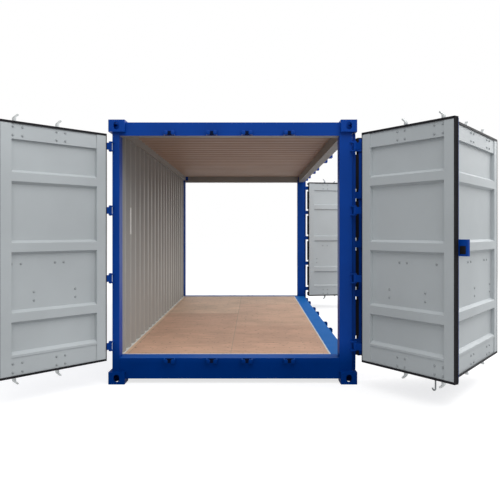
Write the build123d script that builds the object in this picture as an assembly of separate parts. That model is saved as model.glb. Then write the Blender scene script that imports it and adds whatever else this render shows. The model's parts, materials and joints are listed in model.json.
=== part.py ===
"""A 20 ft steel shipping container with double doors at both ends and a fully opening side.

Frame: X runs along the container, +X towards the front end; +Y is the opening side; +Z is up.
The origin is midway between the four bottom corner castings, on the plane they stand on.
Millimetres.  Every door leaf is drawn about its own hinge pin: u runs from the pin to the free
edge, v runs from the pin inwards, and the leaf is then turned to the angle at which it stands open.
"""
import os

from build123d import *

# Overall envelope and corner castings
LENGTH = 6058.0
WIDTH = 2438.0
HEIGHT = 2591.0
CASTING_LENGTH = 178.0
CASTING_WIDTH = 162.0
CASTING_HEIGHT = 118.0
CASTING_WALL = 28.0
DECK_SLOT_LENGTH = 124.0
DECK_SLOT_WIDTH = 63.5
SIDE_SLOT_LENGTH = 76.0
SIDE_SLOT_WIDTH = 56.0
CASTING_ROUND = 10.0

# Hinge planes: how far the pins lie inside the envelope, and what lies behind them
PIN_DEPTH = 25.0
PIN_INSET = 17.0
PIN_RADIUS = 10.0
PIN_PLAY = 0.5
BARREL_RADIUS = 17.0
BARREL_HEIGHT = 70.0
EAR_THICKNESS = 12.0
EAR_PLAY = 1.0
EAR_NOSE = 13.0
EAR_SINK = 3.0
EAR_REACH = 20.0
SIDE_EAR_REACH = 30.0
FOLD_EAR_REACH = 40.0
BLADE_FRONT = -6.0
BLADE_BACK = 10.0
BLADE_HEIGHT = 66.0
BLADE_LAP = 68.0
POST_FACE = 17.0
HEADER_FACE = 22.0

# Posts
POST_DEPTH = 150.0
LEFT_POST_WIDTH = 71.0
RIGHT_POST_WIDTH = 128.0
POST_SET_IN = 31.0
RIGHT_POST_SET_IN = 42.0
POST_WALL = 6.0
POST_ROUND = 8.0

# Door openings
SILL_TOP = 249.0
SILL_BOTTOM = 47.0
HEADER_SET_DOWN = 20.0
HEADER_DEPTH = 132.0
THRESHOLD_DEPTH = 210.0
SIDE_THRESHOLD_DEPTH = 190.0
PLATE = 8.0
WELD = 1.0
SILL_FLANGE = 70.0

# Side rails
SIDE_HEADER_WIDTH = 100.0
LEFT_RAIL_SET_IN = 54.0
LEFT_TOP_RAIL = 60.0
LEFT_TOP_RAIL_HEIGHT = 90.0
LEFT_BOTTOM_RAIL_BOTTOM = 60.0

# Corrugated left wall and roof
SHEET = 2.0
WALL_PITCH_FLAT = 72.0
WALL_PITCH_SLOPE = 67.0
WALL_DEPTH = 36.0
ROOF_FLAT = 60.0
ROOF_SLOPE = 44.0
ROOF_DEPTH = 20.0
ROOF_SET_DOWN = 25.0

# Floor
FLOOR_THICKNESS = 28.0
CROSS_PITCH = 300.0
CROSS_HEIGHT = 122.0
CROSS_FLANGE = 45.0
CROSS_PLATE = 5.0
FLOOR_GAP = 2.0

# Door leaves
EDGE_GAP = 10.0
MEETING_GAP = 18.0
GASKET = 5.0
GASKET_TOP = 8.0
GASKET_CLEAR = 5.0
GASKET_FRONT = 18.0
GASKET_BACK = 64.0
STILE_WIDTH = 105.0
LEAF_FRONT = 10.0
LEAF_BACK = 65.0
RAIL_BACK = 58.0
RAIL_FRONT = 22.0
TOP_RAIL = 140.0
BOTTOM_RAIL = 160.0
PANEL_SHEET = 3.0
FIELD_BACK = 31.0
RIB_SLOPE = 22.0
RIB_ABOVE_FOOT = 502.0
RIB_BELOW_HEAD = 462.0
RIB_PITCH = 596.0
RIB_FACE = 76.0
HINGE_BELOW_HEAD = 96.0
END_HINGE_ABOVE_FOOT = 110.0
END_HINGE_PITCH = 665.0
SIDE_HINGE_ABOVE_FOOT = 128.0
SIDE_HINGE_PITCH = 490.0
SIDE_PIN_BACK = 55.0
FOLD_PIN_FRONT = -8.0

# Locking bars
BAR_RADIUS = 14.0
BAR_PLANE = 2.0
BAR_PLAY = 0.6
END_BAR_FROM_HINGE_EDGE = 485.0
END_BAR_FROM_FREE_EDGE = 164.0
SIDE_BAR_FROM_HINGE_EDGE = 330.0
SIDE_BAR_FROM_FREE_EDGE = 530.0
GUIDE_WALL = 5.0
GUIDE_FLANGE = 26.0
GUIDE_HEIGHT = 40.0
GUIDE_FROM_ENDS = 72.0
MIDDLE_GUIDE = 1218.0
CAM_REACH = 40.0
CAM_WIDTH = 9.0
CAM_HEIGHT = 34.0
CAM_RISE = 22.0
HANDLE_HEIGHT = 930.0
HANDLE_LENGTH = 280.0
HANDLE_FRONT = -22.0
HANDLE_THICKNESS = 10.0
HANDLE_WIDTH = 32.0
COLLAR_HALF = 16.0
COLLAR_BACK = 17.0
COLLAR_HEIGHT = 60.0
CATCH_REACH = 175.0
CATCH_WIDTH = 60.0
CATCH_CHEEK = 8.0
CATCH_PLAY = 5.0
KEEPER_HALF = 54.0
KEEPER_EAR = 8.0
KEEPER_LIP_FRONT = -24.0
KEEPER_LIP = 8.0
KEEPER_GAP = 23.0
KEEPER_MARGIN = 6.0

# Holdback hook that hangs on the outside of the right front leaf
HOLDBACK_FROM_BAR = 93.0
HOLDBACK_PLANE = -14.0
HOLDBACK_RADIUS = 7.0
HOLDBACK_BELOW = 128.0
HOLDBACK_ABOVE = 90.0
HOLDBACK_TURN = 16.0
EYE_HALF = 12.0
EYE_HEIGHT = 16.0

# Padlock box on the right front leaf, lapping past its free edge
LOCK_HEIGHT = 1364.0
LOCK_TALL = 137.0
LOCK_OVERHANG = 80.0
LOCK_LAP = 60.0
LOCK_FRONT = -25.0
LOCK_BACK = 3.0
LOCK_WALL = 5.0

# Angles at which the leaves stand open, in degrees from closed
FRONT_LEFT_OPEN = 131.0
FRONT_RIGHT_OPEN = 124.0
REAR_LEFT_OPEN = 120.0
REAR_RIGHT_OPEN = 92.0
FRONT_SIDE_OPEN = 81.0
FRONT_FOLD = 134.0
REAR_SIDE_OPEN = 100.0
REAR_FOLD = 150.0


def spread(first, last, pitch):
    """Places one pitch apart from the first, with the last at its own place and no gap under half a pitch."""
    steps = max(1, round((last - first) / pitch))
    return [first + index * pitch for index in range(steps)] + [last]


# Derived places
END_X = LENGTH / 2
SIDE_Y = WIDTH / 2
CASTING_INNER_Y = SIDE_Y - CASTING_WIDTH
POST_FRONT_X = END_X - PIN_DEPTH - POST_FACE
POST_BACK_X = POST_FRONT_X - POST_DEPTH
LEFT_POST_OUTER = -(SIDE_Y - POST_SET_IN)
LEFT_POST_INNER = LEFT_POST_OUTER + LEFT_POST_WIDTH
RIGHT_POST_OUTER = SIDE_Y - RIGHT_POST_SET_IN
RIGHT_POST_INNER = RIGHT_POST_OUTER - RIGHT_POST_WIDTH
POST_BOTTOM = CASTING_HEIGHT
POST_TOP = HEIGHT - CASTING_HEIGHT
HEADER_TOP = HEIGHT - HEADER_SET_DOWN
HEADER_BOTTOM = HEADER_TOP - HEADER_DEPTH
ROOF_TOP = HEIGHT - ROOF_SET_DOWN
LEFT_RAIL_FACE = SIDE_Y - LEFT_RAIL_SET_IN
HEADER_X = END_X - PIN_DEPTH - HEADER_FACE
THRESHOLD_X = HEADER_X - THRESHOLD_DEPTH
SIDE_PLANE_Y = SIDE_Y - PIN_DEPTH
SIDE_HEADER_Y = SIDE_PLANE_Y - HEADER_FACE
SIDE_THRESHOLD_Y = SIDE_HEADER_Y - SIDE_THRESHOLD_DEPTH
LEAF_BOTTOM = SILL_TOP + GASKET_CLEAR + GASKET_TOP
LEAF_TOP = HEADER_BOTTOM - GASKET_CLEAR - GASKET_TOP
LEFT_PIN_Y = -(SIDE_Y - PIN_INSET)
RIGHT_PIN_Y = SIDE_Y - PIN_INSET
END_PIN_X = END_X - PIN_DEPTH
SIDE_PIN_X = POST_BACK_X + SIDE_PIN_BACK
END_LEAF = (RIGHT_POST_INNER - LEFT_POST_INNER - 2 * EDGE_GAP - MEETING_GAP) / 2
SIDE_LEAF = (2 * POST_BACK_X - 2 * EDGE_GAP - 3 * MEETING_GAP) / 4
LEFT_EDGE = LEFT_POST_INNER + EDGE_GAP - LEFT_PIN_Y
RIGHT_EDGE = RIGHT_PIN_Y - RIGHT_POST_INNER + EDGE_GAP
SIDE_EDGE = SIDE_PIN_BACK + EDGE_GAP
FOLD_EDGE = MEETING_GAP / 2
RIB_CENTRES = spread(LEAF_BOTTOM + RIB_ABOVE_FOOT, LEAF_TOP - RIB_BELOW_HEAD, RIB_PITCH)
END_HINGE_HEIGHTS = spread(LEAF_BOTTOM + END_HINGE_ABOVE_FOOT, LEAF_TOP - HINGE_BELOW_HEAD, END_HINGE_PITCH)
SIDE_HINGE_HEIGHTS = spread(LEAF_BOTTOM + SIDE_HINGE_ABOVE_FOOT, LEAF_TOP - HINGE_BELOW_HEAD, SIDE_HINGE_PITCH)
END_BARS = (END_BAR_FROM_HINGE_EDGE, END_LEAF - END_BAR_FROM_FREE_EDGE)
SIDE_BARS = (SIDE_BAR_FROM_HINGE_EDGE, SIDE_LEAF - SIDE_BAR_FROM_FREE_EDGE)
GUIDE_HEIGHTS = (LEAF_BOTTOM + GUIDE_FROM_ENDS, MIDDLE_GUIDE, LEAF_TOP - GUIDE_FROM_ENDS)
FRONT, REAR, SIDE = 90.0, -90.0, 180.0


def block(x0, x1, y0, y1, z0, z1):
    """A box between two corners."""
    size = (x1 - x0, y1 - y0, z1 - z0)
    centre = ((x0 + x1) / 2, (y0 + y1) / 2, (z0 + z1) / 2)
    return Pos(*centre) * Box(*size)


def post_of(radius, height, x, y, z):
    """A vertical round bar centred on a height."""
    return Pos(x, y, z) * Cylinder(radius, height)


def prism(points, height, z):
    """A plan outline raised from z."""
    return Pos(0, 0, z) * extrude(make_face(Polyline(*points, close=True)), height, dir=(0, 0, 1))


def folded_sheet(points, thickness, length, plane):
    """A bent sheet: an open outline given a thickness and carried along the plane's normal."""
    back = [(a, b + thickness) for a, b in reversed(points)]
    return extrude(plane * make_face(Polyline(*points, *back, close=True)), length)


def mirrored(shapes, plane):
    return [mirror(shape, about=plane) for shape in shapes]


def fused(first, *rest):
    """One solid from pieces that are welded together."""
    whole = first
    for piece in rest:
        whole = whole + piece
    return whole


def casting():
    """A hollow cast corner at the +X +Y lower corner, with its stadium apertures."""
    x1, y1 = END_X, SIDE_Y
    x0, y0 = x1 - CASTING_LENGTH, y1 - CASTING_WIDTH
    body = block(x0, x1, y0, y1, 0, CASTING_HEIGHT)
    body = fillet(body.edges().filter_by(Axis.Z).group_by(Axis.X)[-1], CASTING_ROUND)
    wall = CASTING_WALL
    body -= block(x0 + wall, x1 - wall, y0 + wall, y1 - wall, wall, CASTING_HEIGHT - wall)
    middle = ((x0 + x1) / 2, (y0 + y1) / 2, CASTING_HEIGHT / 2)
    deck = Pos(middle[0], middle[1], 0) * SlotOverall(DECK_SLOT_LENGTH, DECK_SLOT_WIDTH)
    body -= extrude(deck, wall + 1, dir=(0, 0, 1))
    slot = SlotOverall(SIDE_SLOT_LENGTH, SIDE_SLOT_WIDTH)
    end_hole = Plane(origin=(x1 + 1, middle[1], middle[2]), x_dir=(0, 0, 1), z_dir=(-1, 0, 0)) * slot
    side_hole = Plane(origin=(middle[0], y1 + 1, middle[2]), x_dir=(1, 0, 0), z_dir=(0, -1, 0)) * slot
    return body - extrude(end_hole, wall + 2) - extrude(side_hole, wall + 2)


def castings():
    """Four bottom castings, and the same four turned over at the top."""
    one = casting()
    pair = [one, *mirrored([one], Plane.YZ)]
    bottom = pair + mirrored(pair, Plane.XZ)
    lid = Plane(origin=(0, 0, HEIGHT / 2), z_dir=(0, 0, 1))
    return bottom, mirrored(bottom, lid)


def post(y0, y1, front):
    """A hollow corner post between its castings; front is +1 or -1 along X."""
    x0, x1 = sorted((front * POST_BACK_X, front * POST_FRONT_X))
    tube = block(x0, x1, y0, y1, POST_BOTTOM, POST_TOP)
    tube = fillet(tube.edges().filter_by(Axis.Z), POST_ROUND)
    wall = POST_WALL
    return tube - block(x0 + wall, x1 - wall, y0 + wall, y1 - wall, POST_BOTTOM, POST_TOP)


def past(pin, root):
    """How far an ear runs: from its root to a little beyond the pin."""
    beyond = pin + EAR_NOSE if pin > root else pin - EAR_NOSE
    return sorted((beyond, root))


def ears(x, y, toward, heights):
    """Pairs of hinge ears with their pins; toward is the corner of the post that carries them."""
    half = BARREL_HEIGHT / 2 + EAR_PLAY
    pieces = []
    x0, x1 = past(x, toward[0])
    y0, y1 = past(y, toward[1])
    for height in heights:
        for low in (height - half - EAR_THICKNESS, height + half):
            pieces.append(block(x0, x1, y0, y1, low, low + EAR_THICKNESS))
        pieces.append(post_of(PIN_RADIUS, 2 * (half + EAR_THICKNESS), x, y, height))
    return pieces


def end_ears(pin_y, outer, front):
    """Ears of an end leaf, lapped into the post's front face."""
    inward = EAR_REACH if outer < 0 else -EAR_REACH
    corner = (front * (POST_FRONT_X - EAR_SINK), outer + inward)
    return ears(front * END_PIN_X, pin_y, corner, END_HINGE_HEIGHTS)


def side_ears(front):
    """Ears of a side leaf on the outer face of a right post."""
    corner = (front * (SIDE_PIN_X + SIDE_EAR_REACH), RIGHT_POST_OUTER - EAR_SINK)
    return ears(front * SIDE_PIN_X, SIDE_PLANE_Y, corner, SIDE_HINGE_HEIGHTS)


def keeper(z0, z1):
    """A cam keeper drawn about a bar at u = 0: two ears with lips, standing on a face at v = HEADER_FACE."""
    lip_back = KEEPER_LIP_FRONT + KEEPER_LIP
    pieces = []
    for side in (-1, 1):
        a, b = sorted((side * KEEPER_HALF, side * (KEEPER_HALF - KEEPER_EAR)))
        pieces.append(block(a, b, KEEPER_LIP_FRONT, HEADER_FACE, z0, z1))
        a, b = sorted((side * KEEPER_HALF, side * KEEPER_GAP))
        pieces.append(block(a, b, KEEPER_LIP_FRONT, lip_back, z0, z1))
    return pieces


def keepers(leaves, z0, z1):
    """Keepers for every bar of the given leaves, on the frame."""
    found = []
    for leaf in leaves:
        for bar in leaf.bars:
            for piece in keeper(z0, z1):
                found.append(leaf.closed * Pos(leaf.hand * bar, 0, 0) * piece)
    return found


class Leaf:
    """Where one door leaf hangs.  hand is +1 where u runs along local +x and -1 where it runs along -x."""

    def __init__(self, name, base, pin, facing, hand, edge, width, bars, heights, opened, pin_front=0.0):
        self.name = name
        self.hand = hand
        self.edge = edge
        self.width = width
        self.heights = heights
        self.bars = [edge + bar for bar in bars]
        self.pin_front = pin_front
        hang = base * Location(pin) * Location((0, 0, 0), (0, 0, facing))
        self.closed = hang * Pos(0, -pin_front, 0)
        self.rest = hang * Location((0, 0, 0), (0, 0, -hand * opened)) * Pos(0, -pin_front, 0)
        self.pin = hang.position

    def at(self, shape):
        """Turns a shape drawn in u, v, z to where the leaf stands open."""
        return self.rest * (shape if self.hand > 0 else mirror(shape, about=Plane.YZ))


def skin_outline(low_end, high_end, shift):
    """Heights and depths of the pressed skin's outside, set back by a shift: flat fields, with ribs pressed inwards."""
    low, high = FIELD_BACK - PANEL_SHEET + shift, LEAF_BACK - PANEL_SHEET + shift
    foot, face = RIB_FACE / 2 + RIB_SLOPE, RIB_FACE / 2
    outline = [(low_end, low)]
    for centre in RIB_CENTRES:
        outline += [(centre - foot, low), (centre - face, high), (centre + face, high), (centre + foot, low)]
    return outline + [(high_end, low)]


def across_leaf(u0, u1, outline):
    """An outline of heights and depths, carried from u0 to u1."""
    plane = Plane(origin=(u0, 0, 0), x_dir=(0, 0, 1), z_dir=(1, 0, 0))
    return extrude(plane * make_face(Polyline(*[(z, -v) for z, v in outline], close=True)), u1 - u0)


def panel_sheet(u0, u1):
    """The pressed door skin, lapped on both rails."""
    ends = (LEAF_BOTTOM + BOTTOM_RAIL / 2, LEAF_TOP - TOP_RAIL / 2)
    return across_leaf(u0, u1, skin_outline(*ends, 0.0) + skin_outline(*ends, PANEL_SHEET)[::-1])


def behind_skin(u0, u1):
    """The room behind the skin, from just inside its thickness, that fittings welded to it stay out of."""
    ends = (LEAF_BOTTOM, LEAF_TOP)
    beyond = LEAF_BACK + PANEL_SHEET
    far = [(LEAF_TOP, beyond), (LEAF_BOTTOM, beyond)]
    return across_leaf(u0, u1, skin_outline(*ends, PANEL_SHEET - WELD) + far)


def guide(u, z):
    """A bent strap that holds a locking bar off the outside of the leaf."""
    clear = BAR_RADIUS + BAR_PLAY
    low, high = z - GUIDE_HEIGHT / 2, z + GUIDE_HEIGHT / 2
    side = clear + GUIDE_WALL
    strap = block(u - side, u + side, BAR_PLANE - side, LEAF_BACK, low, high)
    strap -= block(u - clear, u + clear, BAR_PLANE - clear, BAR_PLANE + clear, low, high)
    reach = side + GUIDE_FLANGE
    flange = block(u - reach, u + reach, RAIL_FRONT - GUIDE_WALL, LEAF_BACK, low, high)
    return strap + flange - behind_skin(u - reach, u + reach)


def catch(bar):
    """The fork that a stowed handle lies in, on a pad welded to the outside of the skin."""
    u0, u1 = bar - CATCH_REACH - CATCH_WIDTH / 2, bar - CATCH_REACH + CATCH_WIDTH / 2
    inner = HANDLE_WIDTH / 2 + CATCH_PLAY
    outer = inner + CATCH_CHEEK
    behind = HANDLE_FRONT + HANDLE_THICKNESS + CATCH_PLAY
    pad = block(u0, u1, behind, LEAF_BACK, HANDLE_HEIGHT - outer, HANDLE_HEIGHT + outer)
    upper = block(u0, u1, HANDLE_FRONT, behind, HANDLE_HEIGHT + inner, HANDLE_HEIGHT + outer)
    lower = block(u0, u1, HANDLE_FRONT, behind, HANDLE_HEIGHT - outer, HANDLE_HEIGHT - inner)
    return fused(pad, upper, lower) - behind_skin(u0, u1)


def leaf_solid(leaf, fold_ears=False):
    """One welded leaf: two stiles, two rails, the pressed skin, hinge blades and bar bearings."""
    u0, u1 = leaf.edge, leaf.edge + leaf.width
    first = block(u0, u0 + STILE_WIDTH, LEAF_FRONT, LEAF_BACK, LEAF_BOTTOM, LEAF_TOP)
    last = block(u1 - STILE_WIDTH, u1, LEAF_FRONT, LEAF_BACK, LEAF_BOTTOM, LEAF_TOP)
    inner = (u0 + STILE_WIDTH, u1 - STILE_WIDTH)
    head = block(*inner, RAIL_FRONT, RAIL_BACK, LEAF_TOP - TOP_RAIL, LEAF_TOP)
    foot = block(*inner, RAIL_FRONT, RAIL_BACK, LEAF_BOTTOM, LEAF_BOTTOM + BOTTOM_RAIL)
    whole = fused(first, last, head, foot, panel_sheet(*inner))
    for bar in leaf.bars:
        for z in GUIDE_HEIGHTS:
            whole += guide(bar, z)
        whole += catch(bar)
    axis_v = leaf.pin_front
    bore = PIN_RADIUS + PIN_PLAY
    for z in leaf.heights:
        half = BLADE_HEIGHT / 2
        front = BLADE_FRONT + axis_v
        blade = block(0, u0 + BLADE_LAP, front, BLADE_BACK, z - half, z + half)
        whole = whole + blade + post_of(BARREL_RADIUS, BARREL_HEIGHT, 0, axis_v, z)
        whole -= post_of(bore, BARREL_HEIGHT + 2, 0, axis_v, z)
    if fold_ears:
        pin_u = u1 + FOLD_EDGE
        corner = (u1 - FOLD_EAR_REACH, LEAF_FRONT + WELD)
        whole = fused(whole, *ears(pin_u, FOLD_PIN_FRONT, corner, SIDE_HINGE_HEIGHTS))
    return leaf.at(whole)


def holdback(leaf):
    """The rod that ties the open leaf back: an eye plate on the foot rail, a rod and a hooked end."""
    u = leaf.bars[-1] - HOLDBACK_FROM_BAR
    top = LEAF_BOTTOM + HOLDBACK_ABOVE
    low = LEAF_BOTTOM - HOLDBACK_BELOW + HOLDBACK_TURN + HOLDBACK_RADIUS
    rod = post_of(HOLDBACK_RADIUS, top - low, u, HOLDBACK_PLANE, (top + low) / 2)
    section = Pos(u, HOLDBACK_PLANE, low) * Circle(HOLDBACK_RADIUS)
    hook = revolve(section, Axis((u - HOLDBACK_TURN, HOLDBACK_PLANE, low), (0, 1, 0)), 180)
    eye = block(u - EYE_HALF, u + EYE_HALF, HOLDBACK_PLANE, RAIL_FRONT + WELD, top - EYE_HEIGHT, top)
    return leaf.at(fused(rod, hook, eye))


def lock_box(leaf):
    """The padlock box: a hood open underneath, welded to the free stile by a foot."""
    edge = leaf.edge + leaf.width
    u0, u1 = edge - LOCK_LAP, edge + LOCK_OVERHANG
    z0, z1 = LOCK_HEIGHT - LOCK_TALL / 2, LOCK_HEIGHT + LOCK_TALL / 2
    hood = block(u0, u1, LOCK_FRONT, LOCK_BACK, z0, z1)
    hood -= block(edge, u1 - LOCK_WALL, LOCK_FRONT + LOCK_WALL, LOCK_BACK - LOCK_WALL, z0, z1 - LOCK_WALL)
    foot = block(u0, edge - LOCK_WALL, LOCK_BACK - WELD, LEAF_FRONT + WELD, z0, z1)
    return leaf.at(hood + foot)


def gasket(leaf):
    """The rubber seal round all four edges of a leaf."""
    u0, u1 = leaf.edge, leaf.edge + leaf.width
    low, high = LEAF_BOTTOM - GASKET_TOP, LEAF_TOP + GASKET_TOP
    outer = block(u0 - GASKET, u1 + GASKET, GASKET_FRONT, GASKET_BACK, low, high)
    inner = block(u0, u1, GASKET_FRONT, GASKET_BACK, LEAF_BOTTOM, LEAF_TOP)
    return leaf.at(outer - inner)


def locking_bar(leaf, bar):
    """A locking bar with its cam at each end and its handle, stowed towards the hinges."""
    low, high = LEAF_BOTTOM - CAM_RISE - CAM_HEIGHT, LEAF_TOP + CAM_RISE + CAM_HEIGHT
    pieces = [post_of(BAR_RADIUS, high - low, bar, BAR_PLANE, (low + high) / 2)]
    for z0 in (low, high - CAM_HEIGHT):
        outline = [(bar, BAR_PLANE - CAM_WIDTH), (bar - CAM_REACH, BAR_PLANE - CAM_WIDTH / 2),
                   (bar - CAM_REACH, BAR_PLANE + CAM_WIDTH / 2), (bar, BAR_PLANE + CAM_WIDTH)]
        pieces.append(prism(outline, CAM_HEIGHT, z0))
    tall = COLLAR_HEIGHT / 2
    pieces.append(block(bar - COLLAR_HALF, bar + COLLAR_HALF, HANDLE_FRONT, BAR_PLANE + COLLAR_BACK,
                        HANDLE_HEIGHT - tall, HANDLE_HEIGHT + tall))
    half = HANDLE_WIDTH / 2
    pieces.append(block(bar - HANDLE_LENGTH, bar, HANDLE_FRONT, HANDLE_FRONT + HANDLE_THICKNESS,
                        HANDLE_HEIGHT - half, HANDLE_HEIGHT + half))
    return leaf.at(fused(*pieces))


def leaves():
    """All eight leaves, as they hang in the photograph's pose."""
    top = Location((0, 0, 0))
    ends = [
        Leaf("front_left_door", top, (END_PIN_X, LEFT_PIN_Y, 0), FRONT, 1, LEFT_EDGE, END_LEAF,
             END_BARS, END_HINGE_HEIGHTS, FRONT_LEFT_OPEN),
        Leaf("front_right_door", top, (END_PIN_X, RIGHT_PIN_Y, 0), FRONT, -1, RIGHT_EDGE, END_LEAF,
             END_BARS, END_HINGE_HEIGHTS, FRONT_RIGHT_OPEN),
        Leaf("rear_left_door", top, (-END_PIN_X, LEFT_PIN_Y, 0), REAR, -1, LEFT_EDGE, END_LEAF,
             END_BARS, END_HINGE_HEIGHTS, REAR_LEFT_OPEN),
        Leaf("rear_right_door", top, (-END_PIN_X, RIGHT_PIN_Y, 0), REAR, 1, RIGHT_EDGE, END_LEAF,
             END_BARS, END_HINGE_HEIGHTS, REAR_RIGHT_OPEN),
    ]
    sides = []
    pairs = (("front", 1, FRONT_SIDE_OPEN, FRONT_FOLD), ("rear", -1, REAR_SIDE_OPEN, REAR_FOLD))
    for end, hand, opened, fold in pairs:
        first = Leaf(f"side_{end}_door", top, (hand * SIDE_PIN_X, SIDE_PLANE_Y, 0), SIDE, hand, SIDE_EDGE,
                     SIDE_LEAF, SIDE_BARS, SIDE_HINGE_HEIGHTS, opened)
        pin = (hand * (SIDE_EDGE + SIDE_LEAF + FOLD_EDGE), FOLD_PIN_FRONT, 0)
        second = Leaf(f"side_{end}_folding_door", first.rest, pin, 0.0, hand, FOLD_EDGE, SIDE_LEAF,
                      SIDE_BARS, SIDE_HINGE_HEIGHTS, fold, FOLD_PIN_FRONT)
        shut = first.closed * Pos(*pin) * Pos(0, -FOLD_PIN_FRONT, 0)
        second.closed = shut
        sides += [first, second]
    return ends, sides


def header(front, doors):
    """The beam over an end opening, notched round the castings, with its cam keepers."""
    x0, x1 = sorted((front * (END_X - CASTING_LENGTH), front * HEADER_X))
    upper = block(x0, x1, -CASTING_INNER_Y, CASTING_INNER_Y, POST_TOP, HEADER_TOP)
    lower = block(x0, x1, LEFT_POST_INNER, RIGHT_POST_INNER, HEADER_BOTTOM, POST_TOP)
    low = LEAF_TOP + CAM_RISE - KEEPER_MARGIN
    return fused(upper, lower, *keepers(doors, low, low + CAM_HEIGHT + 2 * KEEPER_MARGIN))


def sill(front, doors):
    """The beam under an end opening: a face plate, a threshold plate and a bottom flange, with keepers."""
    face = sorted((front * HEADER_X, front * (HEADER_X - PLATE)))
    flange = sorted((front * HEADER_X, front * (HEADER_X - SILL_FLANGE)))
    tread = sorted((front * HEADER_X, front * THRESHOLD_X))
    corner = sorted((front * POST_BACK_X, front * THRESHOLD_X))
    wall_foot = -(LEFT_RAIL_FACE - WALL_DEPTH) + FLOOR_GAP
    plates = [
        block(*face, -CASTING_INNER_Y, CASTING_INNER_Y, SILL_BOTTOM, CASTING_HEIGHT),
        block(*face, LEFT_POST_INNER, RIGHT_POST_INNER, CASTING_HEIGHT, SILL_TOP),
        block(*flange, -CASTING_INNER_Y, CASTING_INNER_Y, SILL_BOTTOM, SILL_BOTTOM + PLATE),
        block(*tread, LEFT_POST_INNER, RIGHT_POST_INNER, SILL_TOP - PLATE, SILL_TOP),
        block(*corner, wall_foot, LEFT_POST_INNER, SILL_TOP - PLATE, SILL_TOP),
    ]
    high = LEAF_BOTTOM - CAM_RISE + KEEPER_MARGIN
    return fused(*plates, *keepers(doors, high - CAM_HEIGHT - 2 * KEEPER_MARGIN, high))


def side_header(doors):
    """The deep rail over the side opening."""
    inner = SIDE_HEADER_Y - SIDE_HEADER_WIDTH
    lower = block(-POST_BACK_X, POST_BACK_X, inner, SIDE_HEADER_Y, HEADER_BOTTOM, POST_TOP)
    reach = END_X - CASTING_LENGTH
    upper = block(-reach, reach, inner, SIDE_HEADER_Y, POST_TOP, ROOF_TOP)
    low = LEAF_TOP + CAM_RISE - KEEPER_MARGIN
    return fused(lower, upper, *keepers(doors, low, low + CAM_HEIGHT + 2 * KEEPER_MARGIN))


def side_sill(doors):
    """The rail under the side opening, with its wide threshold plate level with the floor."""
    span = (-POST_BACK_X, POST_BACK_X)
    face = SIDE_HEADER_Y
    plates = [
        block(*span, face - PLATE, face, SILL_BOTTOM, SILL_TOP),
        block(*span, face - SILL_FLANGE, face, SILL_BOTTOM, SILL_BOTTOM + PLATE),
        block(-THRESHOLD_X, THRESHOLD_X, SIDE_THRESHOLD_Y, RIGHT_POST_INNER, SILL_TOP - PLATE, SILL_TOP),
        block(*span, RIGHT_POST_INNER, face, SILL_TOP - PLATE, SILL_TOP),
    ]
    high = LEAF_BOTTOM - CAM_RISE + KEEPER_MARGIN
    return fused(*plates, *keepers(doors, high - CAM_HEIGHT - 2 * KEEPER_MARGIN, high))


def left_bottom_rail():
    """The channel that carries the closed wall and the ends of the cross-members."""
    y0 = -LEFT_RAIL_FACE
    z0 = LEFT_BOTTOM_RAIL_BOTTOM
    web = block(-POST_BACK_X, POST_BACK_X, y0, y0 + PLATE, z0, SILL_TOP)
    cap = block(-POST_BACK_X, POST_BACK_X, y0, y0 + WALL_DEPTH, SILL_TOP - PLATE, SILL_TOP)
    toe = block(-POST_BACK_X, POST_BACK_X, y0, y0 + SILL_FLANGE, z0, z0 + PLATE)
    return fused(web, cap, toe)


def left_top_rail():
    reach = END_X - CASTING_LENGTH
    y0 = -LEFT_RAIL_FACE
    return block(-reach, reach, y0, y0 + LEFT_TOP_RAIL, POST_TOP, POST_TOP + LEFT_TOP_RAIL_HEIGHT)


def corrugated(reach, flat, slope, depth):
    """A trapezoid wave from -reach to +reach, as points along a line and heights above it."""
    pitch = 2 * (flat + slope)
    count = int((2 * reach - flat) // pitch)
    start = -count * pitch / 2 - flat / 2
    points = [(-reach, 0.0)]
    for index in range(count):
        at = start + index * pitch
        points += [(at + flat, 0.0), (at + flat + slope, depth)]
        points += [(at + 2 * flat + slope, depth), (at + pitch, 0.0)]
    return points + [(reach, 0.0)]


def left_wall():
    """The closed corrugated side, between its rails and posts."""
    wave = corrugated(POST_BACK_X, WALL_PITCH_FLAT, WALL_PITCH_SLOPE, WALL_DEPTH - SHEET)
    plane = Plane(origin=(0, -LEFT_RAIL_FACE, SILL_TOP), x_dir=(1, 0, 0), z_dir=(0, 0, 1))
    return folded_sheet(wave, SHEET, POST_TOP - SILL_TOP, plane)


def roof_panel():
    """The pressed roof, its waves running across the container."""
    wave = corrugated(END_X - CASTING_LENGTH, ROOF_FLAT, ROOF_SLOPE, ROOF_DEPTH - SHEET)
    y0 = -LEFT_RAIL_FACE + LEFT_TOP_RAIL
    y1 = SIDE_HEADER_Y - SIDE_HEADER_WIDTH
    plane = Plane(origin=(0, y1, ROOF_TOP - ROOF_DEPTH), x_dir=(1, 0, 0), z_dir=(0, -1, 0))
    return folded_sheet(wave, SHEET, y1 - y0, plane)


def plywood_floor():
    y0 = -(LEFT_RAIL_FACE - WALL_DEPTH) + FLOOR_GAP
    return block(-THRESHOLD_X, THRESHOLD_X, y0, SIDE_THRESHOLD_Y, SILL_TOP - FLOOR_THICKNESS, SILL_TOP)


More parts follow.
